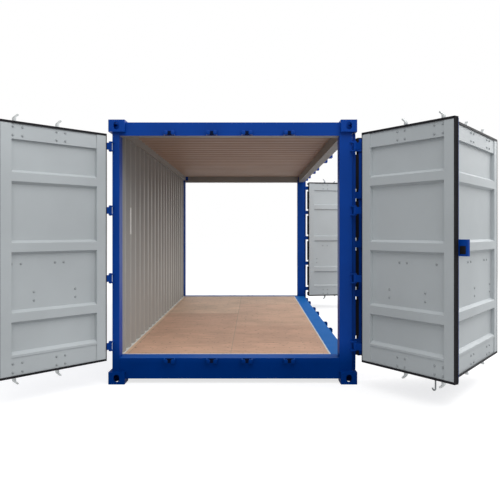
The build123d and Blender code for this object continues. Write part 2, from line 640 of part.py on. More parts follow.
def cross_members():
    """C-section beams that carry the floor between the two bottom rails."""
    y0, y1 = -LEFT_RAIL_FACE + PLATE, SIDE_HEADER_Y - PLATE
    top = SILL_TOP - FLOOR_THICKNESS
    count = int(2 * (THRESHOLD_X - CROSS_FLANGE) // CROSS_PITCH)
    beams = []
    for index in range(count + 1):
        x = (index - count / 2) * CROSS_PITCH
        web = block(x, x + CROSS_PLATE, y0, y1, top - CROSS_HEIGHT, top)
        cap = block(x, x + CROSS_FLANGE, y0, y1, top - CROSS_PLATE, top)
        toe = block(x, x + CROSS_FLANGE, y0, y1, top - CROSS_HEIGHT, top - CROSS_HEIGHT + CROSS_PLATE)
        beams.append(fused(web, cap, toe))
    return beams


def nodes():
    """Every named piece of the container."""
    ends, sides = leaves()
    bottom, top = castings()
    left = (LEFT_POST_OUTER, LEFT_POST_INNER)
    right = (RIGHT_POST_INNER, RIGHT_POST_OUTER)
    parts = {
        "bottom_corner_castings": bottom,
        "top_corner_castings": top,
        "front_header": header(1, ends[:2]),
        "rear_header": header(-1, ends[2:]),
        "front_sill": sill(1, ends[:2]),
        "rear_sill": sill(-1, ends[2:]),
        "side_header": side_header(sides),
        "side_sill": side_sill(sides),
        "left_bottom_rail": left_bottom_rail(),
        "left_top_rail": left_top_rail(),
        "left_wall": left_wall(),
        "roof_panel": roof_panel(),
        "plywood_floor": plywood_floor(),
        "floor_cross_members": cross_members(),
    }
    for end, front in (("front", 1), ("rear", -1)):
        parts[f"{end}_left_post"] = fused(post(*left, front), *end_ears(LEFT_PIN_Y, LEFT_POST_OUTER, front))
        parts[f"{end}_right_post"] = fused(
            post(*right, front), *end_ears(RIGHT_PIN_Y, RIGHT_POST_OUTER, front), *side_ears(front))
    for leaf in ends:
        parts[leaf.name] = leaf_solid(leaf)
        parts[f"{leaf.name}_gasket"] = gasket(leaf)
        for number, bar in enumerate(leaf.bars, 1):
            parts[f"{leaf.name}_bar_{number}"] = locking_bar(leaf, bar)
    parts["front_right_door"] = fused(parts["front_right_door"], lock_box(ends[1]), holdback(ends[1]))
    for end, pair in (("front", sides[:2]), ("rear", sides[2:])):
        for leaf in pair:
            parts[leaf.name] = leaf_solid(leaf, fold_ears=leaf is pair[0])
            parts[f"{leaf.name}_bars"] = [locking_bar(leaf, bar) for bar in leaf.bars]
        parts[f"side_{end}_gaskets"] = [gasket(leaf) for leaf in pair]
    return parts


def main():
    os.makedirs("parts", exist_ok=True)
    for name, shape in nodes().items():
        solids = shape if isinstance(shape, list) else [shape]
        export_step(Compound(children=[s for piece in solids for s in piece.solids()]), f"parts/{name}.step")


if __name__ == "__main__":
    main()
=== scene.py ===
"""Finishes, fasteners, seals and studio for a 20 ft container that stands with all its doors open.

The frame brings the steelwork, floor and doors.  This file paints them, gives the locking bars and seals a
finer surface, and adds small pieces that ride on them, such as bolts, keeper horns, weld beads, screws and
sealant.  Lengths are in millimetres until place() or MM turns them into metres, and the groups' own sizes
are in metres.
"""
import json
from math import cos, radians, sin

import bmesh
import bpy
import numpy as np
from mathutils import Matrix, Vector

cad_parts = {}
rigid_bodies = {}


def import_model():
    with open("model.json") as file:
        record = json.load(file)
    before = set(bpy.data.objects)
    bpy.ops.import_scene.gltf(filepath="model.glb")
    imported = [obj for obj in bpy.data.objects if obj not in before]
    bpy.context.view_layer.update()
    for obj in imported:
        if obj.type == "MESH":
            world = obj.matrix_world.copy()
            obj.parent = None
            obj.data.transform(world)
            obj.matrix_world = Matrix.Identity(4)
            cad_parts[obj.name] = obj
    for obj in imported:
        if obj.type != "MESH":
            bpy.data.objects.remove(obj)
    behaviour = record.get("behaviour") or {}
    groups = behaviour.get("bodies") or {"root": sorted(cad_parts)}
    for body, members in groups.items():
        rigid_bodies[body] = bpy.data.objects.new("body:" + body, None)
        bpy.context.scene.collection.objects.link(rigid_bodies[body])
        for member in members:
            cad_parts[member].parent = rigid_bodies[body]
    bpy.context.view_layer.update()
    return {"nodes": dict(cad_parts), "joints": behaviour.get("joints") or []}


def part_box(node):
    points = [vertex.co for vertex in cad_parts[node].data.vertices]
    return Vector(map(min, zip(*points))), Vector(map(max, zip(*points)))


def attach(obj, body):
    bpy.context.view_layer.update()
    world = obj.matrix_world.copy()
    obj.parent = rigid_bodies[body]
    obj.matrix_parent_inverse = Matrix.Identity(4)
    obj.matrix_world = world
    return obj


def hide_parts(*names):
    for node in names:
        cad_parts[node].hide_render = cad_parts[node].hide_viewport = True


bl_info = {
    "name": "Open Side Container",
    "version": (1, 0, 0),
    "blender": (4, 5, 0),
    "location": "View3D > Sidebar > Container",
    "description": "Paint, seals, fasteners and studio for a 20 ft container with its doors open",
    "category": "Object",
}

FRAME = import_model()
MM = 0.001
UP = (0.0, 0.0, 1.0)
DOWN = (0.0, 0.0, -1.0)

# Door leaves, as the frame has them: u runs from the pin, v inwards and z up
LEAF_BOTTOM = 262.0
LEAF_TOP = 2426.0
END_LEAF = 1064.0
SIDE_LEAF = 1400.0
END_EDGES = {"left": 95.0, "right": 163.0}
SIDE_EDGE = 65.0
FOLD_EDGE = 9.0
FOLD_PIN_FRONT = -8.0
SIDE_PIN = (2892.0, 1194.0)
SIDE_OPEN = {"front": (81.0, 134.0), "rear": (100.0, 150.0)}
STILE_WIDTH = 105.0
BOTTOM_RAIL = 160.0
RAIL_BACK = 58.0
FIELD_BACK = 31.0
LEDGE_RISES = (48.0, 22.0, 2.0, 0.0, 0.0)
LEDGE_DEPTHS = (FIELD_BACK, 64.0, 64.0, RAIL_BACK - 1.0, FIELD_BACK)

# Seals: shares of how far they stand past the leaf, and of the way from their front to their back
GASKET_SIDE = 5.0
GASKET_TOP = 12.0
GASKET_FRONT = 18.0
GASKET_BACK = 64.0
SEAL_OUT = (0.0, 0.6, 1.0, 1.0, 0.5, 0.5, 1.0, 1.0, 0.5, 0.5, 1.0, 1.0, -0.7, -0.7, 0.0)
SEAL_ACROSS = (0.0, 0.0, 0.08, 0.2, 0.28, 0.36, 0.44, 0.56, 0.64, 0.72, 0.8, 1.08, 1.08, 1.03, 1.0)

# Hinges, and the strips between them whose black stands for the shade in the gap
END_HINGE_HEIGHTS = (372.0, 1037.0, 1702.0, 2330.0)
SIDE_HINGE_HEIGHTS = (390.0, 880.0, 1370.0, 1860.0, 2330.0)
HINGE_HALF = 48.0
HINGE_ROOM = 63.0
PIN_HEAD_RADIUS = 11.0
PIN_HEAD_HEIGHT = 4.0
FLAP_REACH = {"side_front_door": 40.0, "side_rear_door": 22.0}
FLAP_LAP = 1.0
FLAP_DEPTH = 5.0
FLAP_HALF = 2.5

# Locking gear; a hook's path is in u and in distance past the leaf
END_BARS = (485.0, 900.0)
SIDE_BARS = (330.0, 870.0)
BAR_RADIUS = 14.0
BAR_BEVEL = 3.0
BAR_PLANE = 2.0
BAR_PAST_LEAF = 56.0
HOOK_PATH = ((0.0, 20.0), (8.0, 26.0), (9.0, 46.0), (-4.0, 58.0), (-30.0, 80.0))
HOOK_THICKNESS = 14.0
HOOK_HALF_WIDTH = 15.0
COLLAR_PLANE = -2.0
COLLAR_HALF = (17.0, 20.0, 30.0)
HANDLE_HEIGHT = 930.0
HANDLE_LENGTH = 280.0
HANDLE_PLANE = -17.0
HANDLE_HALF = (HANDLE_LENGTH / 2, 5.0, 16.0)
GUIDE_HEIGHTS = (334.0, 1218.0, 2354.0)
CATCH_REACH = 165.0

# Padlock box: a dark pad painted as the shade in its pocket: its middle from the leaf's free edge, and half
# its size
LOCK_SHADOW_PLACE = (33.0, 3.0, 1346.0)
LOCK_SHADOW_HALF = (30.0, 1.5, 34.0)

# Cup heads: the dome's share of the radius, how far the rim is sunk, and where rim and dome start in height
CUP_DOME = 0.82
CUP_SINK = 1.0
CUP_RIM = 0.25
CUP_STEP = 0.3

# How far in from a corner a bent strap is cut
CORNER_CUT = 0.25

# Cam keepers on the headers and sills
KEEPER_PAST_LEAF = 39.0
HORN_PLANE = -22.0
HORN_OFFSET = 34.0
HORN_HALF = (19.0, 9.0, 22.0)
HEADER_FACE = 22.0
# Half size of the dark pad painted as the shade in each keeper
KEEPER_SHADOW_HALF = (40.0, 1.0, 22.0)

# Posts, the lip on each right post, and weld beads
POST_PLANS = {"left": (-1188.0, -1117.0), "right": (1049.0, 1177.0)}
POST_X = (2837.0, 2987.0)
POST_ENDS = (118.0, 2473.0)
LIP_X = 2934.0
LIP_Y = 1194.0
LIP_HALF = (4.0, 22.0)
BEAD_SIDES = 8
WELD_RIPPLE = 0.14
WELD_RIPPLE_STEP = 2.1

# Closed wall, a trapezoid wave, and its blank strip
WALL_CREST_X = 2363.0
WALL_CREST_Y = -1129.0
WALL_VALLEY_Y = -1163.0
WALL_FLAT = 72.0
WALL_SLOPE = 67.0
WALL_WAVES = 20
STRIP_SHARES = (0.0, 1.0, 1.0, 0.97, 0.0)
STRIP_LIFTS = (0.0, 0.0, 0.5, 0.8, 0.8)
STRIP_ROUNDNESS = (0.18, 0.08)
STRIP_SIDES = 48

# Floor
CROSS_PITCH = 300.0
CROSS_COUNT = 19
CROSS_FLANGE = 45.0
SCREW_MARGIN = 60.0
SCREW_HEIGHT = 1.2
SEALANT_RISE = 2.2
FILL_RISE = 0.8
FILL_SINK = 0.5
FILL_LAP = 2.0

# Blue paint: its shine, and a painted shade near the ground, with a duller shine, that is full below one
# height and gone above another
PAINT_SHINE = 0.12
LOW_SHADE_FULL = 200.0
LOW_SHADE_TOP = 420.0
LOW_SHADE = 0.62
LOW_SHINE = 0.01

# Sizes of patterns; the plywood's sheets, their shift and their joints are in metres
PEEL_SIZE = 14.0
GLOSS_DRIFT_SIZE = 260.0
BLUE_CLOUD_SIZE = 420.0
GREY_CLOUD_SIZE = 600.0
ZINC_CRYSTAL_SIZE = 18.0
PLY_SHEET = (2.44, 1.05)
PLY_SHIFT = (0.35, 0.03, 0.0)
PLY_JOINT = 0.0035
GRAIN_SIZE = (9.0, 260.0)
STAIN_SIZE = 380.0
SMALL_KNOT_SIZE = 70.0
LARGE_KNOT_SIZE = 190.0
BUMP_DEPTH = 1.0 * MM

# Strengths of patterns: where a cloud's shades start, a gloss's drift, and wear as from, to, dark and pale
CLOUD_RAMP = (0.35, 0.65)
GLOSS_DRIFT = (-0.06, 0.08)
PLY_WEAR = ((0.3, 0.7, 0.74, 1.13), (0.38, 0.62, 0.90, 1.06),
            (0.08, 0.22, 0.62, 1.02), (0.04, 0.11, 0.40, 1.0))
PLY_JOINT_SHADE = 0.55
PLY_BUMP = 0.15
PLY_ROUGHNESS = 0.62
ZINC_SHADES = (0.82, 1.08)
ZINC_ROUGHNESS = (0.38, 0.55)
ZINC_METAL = 0.7

# How far a face has to look a way to take that way's paint, and how far paint keeps from a leaf's edges
FACING = 0.3
PAINT_MARGIN = 2.0
HANGING_BELOW = 10.0

# Studio, in metres, but for the sensor: lamps have a place, an aim and a size
LAMPS = {"front_lamp": ((7.5, 1.5, 8.0), (3.0, 0.0, 1.0), (9.0, 7.0)),
         "side_lamp": ((-4.0, 9.0, 6.5), (0.0, 0.0, 1.0), (9.0, 7.0)),
         "fill_lamp": ((1.6, 5.2, 4.2), (-2.8, 1.7, 1.0), (2.4, 2.0))}
GROUND_HALF = 60.0
GROUND_BOUNCE = (0.42, 0.42, 0.42, 1.0)
GROUND_SHOWN = (0.95, 0.95, 0.95, 1.0)
GROUND_GLOW = 1.35
GROUND_SHADOW = 0.45
SKY_TINT = (0.96, 0.98, 1.0, 1.0)
WHITE = (1.0, 1.0, 1.0, 1.0)
SENSOR_WIDTH = 36.0
SHIFT = (-0.0074, -0.038)
CLIP_END = 300.0


def linear(code):
    """Turns an sRGB hex colour into the linear values that shaders take."""
    channels = [int(code[i:i + 2], 16) / 255 for i in (1, 3, 5)]
    return tuple(c / 12.92 if c <= 0.04045 else ((c + 0.055) / 1.055) ** 2.4 for c in channels)


class Leaf:
    """Where a door leaf stands: u runs from its pin to its free edge and v inwards, both level."""

    def __init__(self, node, body, pin, angle, hand, edge, width, bars, pin_front=0.0):
        self.node = node
        self.body = body
        self.angle = angle
        self.edge = edge
        self.width = width
        self.bars = [edge + bar for bar in bars]
        self.along = hand * np.array([cos(radians(angle)), sin(radians(angle)), 0.0])
        self.inward = np.array([-sin(radians(angle)), cos(radians(angle)), 0.0])
        self.origin = np.array([pin[0], pin[1], 0.0]) - pin_front * self.inward

    def place(self, points):
        """Takes points in u, v, z, in millimetres, to the frame, in metres."""
        points = np.asarray(points, float)
        level = self.origin + points[..., 0:1] * self.along + points[..., 1:2] * self.inward
        return (level + points[..., 2:3] * np.array(UP)) * MM


def find_leaves():
    """The four end leaves from the frame's joints, then the two side pairs that fold on each other."""
    found = []
    for joint in FRAME["joints"]:
        if joint["parent"] != "frame":
            continue
        node = joint["child"]
        hand = -joint["axis"][2]
        opened = -joint["range_deg"][0]
        facing = 90.0 if node.startswith("front") else -90.0
        edge = END_EDGES["left" if "left" in node else "right"]
        pin = np.array(joint["pos_m"]) / MM
        form = (hand, edge, END_LEAF, END_BARS)
        leaf = Leaf(node, node, pin, facing - hand * opened, *form)
        leaf.shut = Leaf(node, "frame", pin, facing, *form)
        found.append(leaf)
    for end, hand in (("front", 1), ("rear", -1)):
        opened, fold = SIDE_OPEN[end]
        pin = (hand * SIDE_PIN[0], SIDE_PIN[1])
        form = (hand, SIDE_EDGE, SIDE_LEAF, SIDE_BARS)
        first = Leaf(f"side_{end}_door", "frame", pin, 180.0 - hand * opened, *form)
        first.shut = Leaf(first.node, "frame", pin, 180.0, *form)
        fold_at = [SIDE_EDGE + SIDE_LEAF + FOLD_EDGE, FOLD_PIN_FRONT, 0.0]
        form = (hand, FOLD_EDGE, SIDE_LEAF, SIDE_BARS, FOLD_PIN_FRONT)
        name = f"side_{end}_folding_door"
        second = Leaf(name, "frame", first.place(fold_at) / MM, first.angle - hand * fold, *form)
        second.shut = Leaf(name, "frame", first.shut.place(fold_at) / MM, 180.0, *form)
        found += [first, second]
    return found


LEAVES = find_leaves()


def number(name, description, default, low, high, unit="LENGTH"):
    """A number that a user may change: a length in metres, unless its unit says otherwise."""
    return bpy.props.FloatProperty(name=name, description=description, default=default, min=low, max=high,
                                   unit=unit)


def tint(name, description, code):
    """A colour that a user may change, from its sRGB hex value."""
    return bpy.props.FloatVectorProperty(name=name, description=description, default=linear(code),
                                         subtype="COLOR", min=0.0, max=1.0)


class ContainerSizes(bpy.types.PropertyGroup):
    """Sizes of the small pieces."""

    bolt_radius: number("Bolt Head Radius", "Radius of the leaves' cup heads", 0.0115, 0.004, 0.03)
    bolt_height: number("Bolt Head Height", "How far a cup head stands off the steel", 0.008, 0.002, 0.02)
    screw_radius: number("Floor Screw Radius", "Radius of the floor's screw heads", 0.007, 0.003, 0.012)
    weld_radius: number("Weld Radius", "Radius of the beads at posts and castings", 0.006, 0.002, 0.012)
    sealant_width: number("Sealant Width", "Width of the bead round the plywood floor", 0.016, 0.004, 0.03)
    label_height: number("Label Height", "Height of the blank strip on the closed wall", 0.29, 0.1, 0.5)
    label_width: number("Label Width", "Width of the blank strip on the closed wall", 0.066, 0.02, 0.07)


class ContainerColours(bpy.types.PropertyGroup):
    """Colours of the finishes."""

    outside: tint("Outside Paint", "Blue paint of the frame and the outsides", "#003e97")
    inside: tint("Inside Paint", "Grey paint of the leaves' inner faces", "#bdc2c4")
    # Both tread blues are paler than the outside blue: a painted highlight and sky reflection on the sills'
    # upward faces
    tread_highlight: tint("Tread Paint", "Paler blue of the end sills' tops", "#0a4c9c")
    side_tread: tint("Side Tread Paint", "Pale, worn blue of the side threshold plate", "#1b6bba")
    # The ceiling's warm grey and the lining's darker grey are painted shade, the warmth painted light from
    # the floor; the real inner paint is the leaves' grey
    ceiling_shade: tint("Ceiling Paint", "Warm grey of the roof's underside", "#af9888")
    light_and_shade_lining: tint("Lining Paint", "Older grey of the closed wall and the rails inside", "#9b9893")
    plywood: tint("Plywood", "Sealed hardwood face of the floor", "#dfc2a5")
    red_plywood: tint("Red Plywood", "Darker, redder sheets of the floor", "#c99f85")
    zinc: tint("Zinc", "Galvanised locking gear", "#c3c6c6")


class ContainerStudio(bpy.types.PropertyGroup):
    """Camera and light."""

    camera_distance: number("Camera Distance", "From the camera to the near castings", 6.06, 2.0, 20.0)
    camera_side: number("Camera Side", "How far it stands towards the open side", 0.205, -3.0, 3.0)
    camera_height: number("Camera Height", "Height of the camera above the ground", 1.501, 0.2, 6.0)
    camera_lens: number("Lens", "Focal length on a 36 mm sensor", 44.64, 10.0, 200.0, "CAMERA")
    sky_strength: number("Sky Strength", "Strength of the even white sky", 0.62, 0.0, 3.0, "NONE")
    front_power: number("Front Lamp Power", "Wide lamp above the near end", 390.0, 0.0, 5000.0, "POWER")
    side_power: number("Side Lamp Power", "Wide lamp at the open side", 630.0, 0.0, 5000.0, "POWER")
    fill_power: number("Fill Lamp Power", "Small lamp on the rear side leaf", 85.0, 0.0, 5000.0, "POWER")


def fill(tree, node, inputs):
    """Fills a node's sockets with values or with links from other nodes."""
    for key, value in inputs.items():
        if isinstance(value, bpy.types.NodeSocket):
            tree.links.new(value, node.inputs[key])
        else:
            node.inputs[key].default_value = value


def add(tree, kind, inputs=None, **settings):
    """Adds a node, sets its properties and fills its sockets."""
    node = tree.nodes.new(kind)
    for key, value in settings.items():
        setattr(node, key, value)
    fill(tree, node, inputs or {})
    return node


def emptied(owner):
    """The node tree of a new material or world, with nothing in it."""
    owner.use_nodes = True
    owner.node_tree.nodes.clear()
    return owner.node_tree


def new_material(name):
    """A material with its output, a principled shader and a node of coordinates."""
    material = bpy.data.materials.new(name)
    tree = emptied(material)
    shader = add(tree, "ShaderNodeBsdfPrincipled")
    add(tree, "ShaderNodeOutputMaterial", {"Surface": shader.outputs["BSDF"]})
    return material, tree, shader, add(tree, "ShaderNodeTexCoord")


def rgba(colour, gain=1.0):
    """A shader colour: three channels times a gain, with full opacity."""
    return tuple(min(1.0, c * gain) for c in colour[:3]) + (1.0,)


def repeats(size):
    """A pattern's scale, in repeats a metre, from its real size in millimetres."""
    return 1000.0 / size


def clouded(tree, coords, colour, size, low, high):
    """A colour that drifts between two shades of itself over patches of a given size."""
    noise = add(tree, "ShaderNodeTexNoise", {"Vector": coords, "Scale": repeats(size), "Detail": 4.0})
    ramp = add(tree, "ShaderNodeValToRGB", {"Fac": noise.outputs["Fac"]})
    for element, position, gain in zip(ramp.color_ramp.elements, CLOUD_RAMP, (low, high)):
        element.position = position
        element.color = rgba(colour, gain)
    return ramp.outputs["Color"]


def sprayed(tree, shader, coords, roughness, depth):
    """Sprayed paint: orange peel, drawn coarser than it is so that it shows, and a gloss that drifts."""
    peel = add(tree, "ShaderNodeTexNoise", {"Vector": coords, "Scale": repeats(PEEL_SIZE), "Detail": 2.0})
    bump = add(tree, "ShaderNodeBump",
               {"Height": peel.outputs["Fac"], "Strength": depth, "Distance": BUMP_DEPTH})
    drift = add(tree, "ShaderNodeTexNoise",
                {"Vector": coords, "Scale": repeats(GLOSS_DRIFT_SIZE), "Detail": 3.0})
    low, high = GLOSS_DRIFT
    spread = add(tree, "ShaderNodeMapRange", {"Value": drift.outputs["Fac"], "To Min": roughness + low,
                                              "To Max": roughness + high})
    fill(tree, shader, {"Normal": bump.outputs["Normal"], "Roughness": spread.outputs["Result"]})


def blue_coat(tree, shader, coords, colours):
    """The blue topcoat's colour and shine, both lowered near the ground: the colour darkens there as painted
    shade, and the shine drops with it.
    """
    clean = clouded(tree, coords, colours.outside, BLUE_CLOUD_SIZE, low=0.93, high=1.06)
    height = add(tree, "ShaderNodeSeparateXYZ", {"Vector": coords}).outputs["Z"]
    dulled = []
    # Painted shade: the blue darkens, and its shine drops, towards the ground
    for full, gone in ((LOW_SHADE, 1.0), (LOW_SHINE, PAINT_SHINE)):
        share = add(tree, "ShaderNodeMapRange", {"Value": height, "From Min": LOW_SHADE_FULL * MM,
                                                 "From Max": LOW_SHADE_TOP * MM, "To Min": full, "To Max": gone})
        dulled.append(share.outputs["Result"])
    shade, shine = dulled
    fill(tree, shader, {"Specular IOR Level": shine})
    return add(tree, "ShaderNodeVectorMath", {0: clean, "Scale": shade}, operation="SCALE").outputs["Vector"]


def outside_paint(colours):
    """Alkyd topcoat sprayed over shot-blasted steel: a deep blue, darkened near the ground as painted shade,
    with a soft shine and a fine peel.
    """
    material, tree, shader, place = new_material("alkyd_blue_topcoat")
    coords = place.outputs["Object"]
    fill(tree, shader, {"Base Color": blue_coat(tree, shader, coords, colours)})
    sprayed(tree, shader, coords, roughness=0.40, depth=0.10)
    return material


def mask(tree, tests, within=None):
    """1 where, in every test, a vector reaches further along a way than its limit, inside a mask."""
    whole = within
    for vector, way, limit in tests:
        reach = add(tree, "ShaderNodeVectorMath", {0: vector, 1: tuple(way)}, operation="DOT_PRODUCT")
        passed = add(tree, "ShaderNodeMath", {0: reach.outputs["Value"], 1: limit}, operation="GREATER_THAN")
        if whole is not None:
            passed = add(tree, "ShaderNodeMath", {0: whole, 1: passed.outputs["Value"]}, operation="MULTIPLY")
        whole = passed.outputs["Value"]
    return whole


def two_coat(name, colours, grey_colour, inner):
    """Blue topcoat outside, grey epoxy inside a leaf, painted light inside a frame piece; inner gives the
    inside's mask from the tree and its place.
    """
    material, tree, shader, place = new_material(name)
    coords = place.outputs["Object"]
    blue = blue_coat(tree, shader, coords, colours)
    grey = clouded(tree, coords, grey_colour, GREY_CLOUD_SIZE, low=0.955, high=1.02)
    painted = add(tree, "ShaderNodeMix", {"Factor": inner(tree, place), "A": blue, "B": grey},
                  data_type="RGBA")
    fill(tree, shader, {"Base Color": painted.outputs["Result"]})
    sprayed(tree, shader, coords, roughness=0.46, depth=0.08)
    return material, tree, shader, coords, painted.outputs["Result"]


def lined_paint(name, inward, colours, light_and_shade_lining):
    """A frame piece: its faces that look the inward way take painted light, shade inside and a highlight on
    sill tops; the others are blue.
    """
    def inner(tree, place):
        return mask(tree, [(place.outputs["Normal"], inward, FACING)])

    return two_coat(name, colours, light_and_shade_lining, inner)[0]


def leaf_paint(leaf, colours):
    """A door leaf: grey inside, on the sides of its recesses too, with blue edges, hinges and outside.

    What hangs below a leaf, as the right front leaf's holdback hook does, has the colour of zinc.
    """
    def inner(tree, place):
        coords, normal = place.outputs["Object"], place.outputs["Normal"]
        near = float(leaf.origin @ leaf.along) + leaf.edge + PAINT_MARGIN
        far = near + leaf.width - 2 * PAINT_MARGIN
        inside = mask(tree, [(coords, leaf.along, near * MM), (coords, -leaf.along, -far * MM),
                             (coords, UP, (LEAF_BOTTOM + PAINT_MARGIN) * MM),
                             (coords, DOWN, (PAINT_MARGIN - LEAF_TOP) * MM)])
        front = mask(tree, [(normal, leaf.inward, FACING)])
        either = add(tree, "ShaderNodeMath", {0: front, 1: inside}, operation="MAXIMUM").outputs["Value"]
        skin = float(leaf.origin @ leaf.inward) + FIELD_BACK - PAINT_MARGIN
        return mask(tree, [(coords, leaf.inward, skin * MM), (normal, leaf.inward, -FACING)], either)

    name = f"two_coat_{leaf.node}"
    material, tree, shader, coords, painted = two_coat(name, colours, colours.inside, inner)
    hanging = mask(tree, [(coords, DOWN, (HANGING_BELOW - LEAF_BOTTOM) * MM)])
    zinc = clouded(tree, coords, colours.zinc, ZINC_CRYSTAL_SIZE, low=0.7, high=0.9)
    whole = add(tree, "ShaderNodeMix", {"Factor": hanging, "A": painted, "B": zinc}, data_type="RGBA")
    fill(tree, shader, {"Base Color": whole.outputs["Result"]})
    return material


def rubber():
    """Extruded rubber: near black, with a dull and slightly uneven skin."""
    return speckled("extruded_black_rubber", "#151418", size=90.0, roughness=0.62, shine=0.15,
                    shades=(0.8, 1.25), depth=0.15)


def galvanised(colours):
    """Hot-dip galvanised steel: pale grey zinc in crystals, each a little lighter or darker than the next."""
    material, tree, shader, place = new_material("hot_dip_galvanised_steel")
    coords = place.outputs["Object"]
    crystal = add(tree, "ShaderNodeTexVoronoi", {"Vector": coords, "Scale": repeats(ZINC_CRYSTAL_SIZE)})
    level = add(tree, "ShaderNodeSeparateColor", {"Color": crystal.outputs["Color"]})
    ramp = add(tree, "ShaderNodeValToRGB", {"Fac": level.outputs["Red"]})
    for element, gain in zip(ramp.color_ramp.elements, ZINC_SHADES):
        element.color = rgba(colours.zinc, gain)
    low, high = ZINC_ROUGHNESS
    spread = add(tree, "ShaderNodeMapRange",
                 {"Value": level.outputs["Green"], "To Min": low, "To Max": high})
    fill(tree, shader, {"Base Color": ramp.outputs["Color"], "Roughness": spread.outputs["Result"],
                        "Metallic": ZINC_METAL})
    return material


def plywood(colours):
    """Sealed hardwood plywood: each sheet has its own tone, grain runs across, and small knots show dark."""
    material, tree, shader, place = new_material("sealed_hardwood_plywood")
    coords = place.outputs["Object"]
    centred = add(tree, "ShaderNodeMapping", {"Vector": coords, "Location": PLY_SHIFT})
    sheets = add(tree, "ShaderNodeTexBrick",
                 {"Vector": centred.outputs["Vector"], "Color1": rgba(colours.red_plywood),
                  "Color2": rgba(colours.plywood), "Mortar": rgba(colours.plywood, PLY_JOINT_SHADE),
                  "Mortar Size": PLY_JOINT, "Brick Width": PLY_SHEET[0], "Row Height": PLY_SHEET[1],
                  "Scale": 1.0}, offset=0.5)
    across = add(tree, "ShaderNodeMapping",
                 {"Vector": coords, "Scale": (repeats(GRAIN_SIZE[0]), repeats(GRAIN_SIZE[1]), 1.0)})
    grain = add(tree, "ShaderNodeTexNoise", {"Vector": across.outputs["Vector"], "Scale": 1.0, "Detail": 5.0})
    stain = add(tree, "ShaderNodeTexNoise", {"Vector": coords, "Scale": repeats(STAIN_SIZE), "Detail": 5.0})
    small = add(tree, "ShaderNodeTexVoronoi", {"Vector": coords, "Scale": repeats(SMALL_KNOT_SIZE)})
    large = add(tree, "ShaderNodeTexVoronoi", {"Vector": coords, "Scale": repeats(LARGE_KNOT_SIZE)})
    values = (grain.outputs["Fac"], stain.outputs["Fac"],
              small.outputs["Distance"], large.outputs["Distance"])
    worn = sheets.outputs["Color"]
    for value, (low, high, dark, pale) in zip(values, PLY_WEAR):
        shade = add(tree, "ShaderNodeMapRange", {"Value": value, "From Min": low, "From Max": high,
                                                 "To Min": dark, "To Max": pale})
        worn = add(tree, "ShaderNodeVectorMath", {0: worn, "Scale": shade.outputs["Result"]},
                   operation="SCALE").outputs["Vector"]
    bump = add(tree, "ShaderNodeBump",
               {"Height": grain.outputs["Fac"], "Strength": PLY_BUMP, "Distance": BUMP_DEPTH})
    fill(tree, shader, {"Base Color": worn, "Normal": bump.outputs["Normal"], "Roughness": PLY_ROUGHNESS})
    return material


def speckled(name, code, size, roughness, shine=0.5, shades=(0.9, 1.05), depth=0.1):
    """A dull coating with a slight mottle, for rubber, underseal, sealant, the keepers' painted shade and a
    blank vinyl strip.
    """
    material, tree, shader, place = new_material(name)
    coords = place.outputs["Object"]
    mottle = clouded(tree, coords, linear(code), size, *shades)
    fill(tree, shader, {"Base Color": mottle, "Specular IOR Level": shine})
    sprayed(tree, shader, coords, roughness, depth)
    return material


def quads(rows, columns, close_rows=False, close_columns=False):
    """Quads of a grid of points kept row by row; a closed direction runs on from its end to its start."""
    row = np.arange(rows if close_rows else rows - 1)
    column = np.arange(columns if close_columns else columns - 1)
    i, j = np.meshgrid(row, column, indexing="ij")
    below, beside = (i + 1) % rows, (j + 1) % columns
    corners = [i * columns + j, i * columns + beside, below * columns + beside, below * columns + j]
    return np.stack(corners, axis=-1).reshape(-1, 4)


def piece(name, points, faces, material, body, slot):
    """A mesh object from points in metres, with its seams merged and faces outwards, that rides on a body."""
    mesh = bpy.data.meshes.new(name)
    mesh.from_pydata(np.asarray(points, float).tolist(), [], np.asarray(faces).tolist())
    work = bmesh.new()
    work.from_mesh(mesh)
    bmesh.ops.remove_doubles(work, verts=work.verts, dist=1e-6)
    bmesh.ops.recalc_face_normals(work, faces=work.faces)
    work.to_mesh(mesh)
    work.free()
    mesh.materials.append(material)
    made = bpy.data.objects.new(name, mesh)
    bpy.context.scene.collection.objects.link(made)
    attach(made, body)
    return made


def around(count):
    """Angles of one turn in equal steps."""
    return np.linspace(0.0, 2 * np.pi, count, endpoint=False)


def soft(values, power):
    """Values raised to a power with their signs kept, which bends a sine or cosine towards a square wave."""
    return np.sign(values) * np.abs(values) ** power


def turned(radii, heights, segments):
    """A surface of revolution: each radius at its height, carried round z; ends of radius 0 close it."""
    angle = around(segments)
    radii, heights = np.asarray(radii)[:, None], np.asarray(heights)[:, None]
    points = np.stack([radii * np.cos(angle), radii * np.sin(angle), heights + 0.0 * angle], axis=-1)
    return points.reshape(-1, 3), quads(len(radii), segments, close_columns=True)


def repeated(points, faces, places, axes):
    """Copies of one shape: its z axis is laid along an axis, and its origin is set at each place."""
    axes = np.asarray(axes, float)
    upright = np.abs(axes[:, 2:3]) > 0.9
    side = np.cross(np.where(upright, [[1.0, 0.0, 0.0]], [[0.0, 0.0, 1.0]]), axes)
    side /= np.linalg.norm(side, axis=1, keepdims=True)
    turn = np.stack([side, np.cross(axes, side), axes], axis=1)
    copies = np.einsum("pk,nkc->npc", points, turn) + np.asarray(places)[:, None, :]
    shift = len(points) * np.arange(len(copies))[:, None, None]
    return copies.reshape(-1, 3), (faces[None] + shift).reshape(-1, 4)


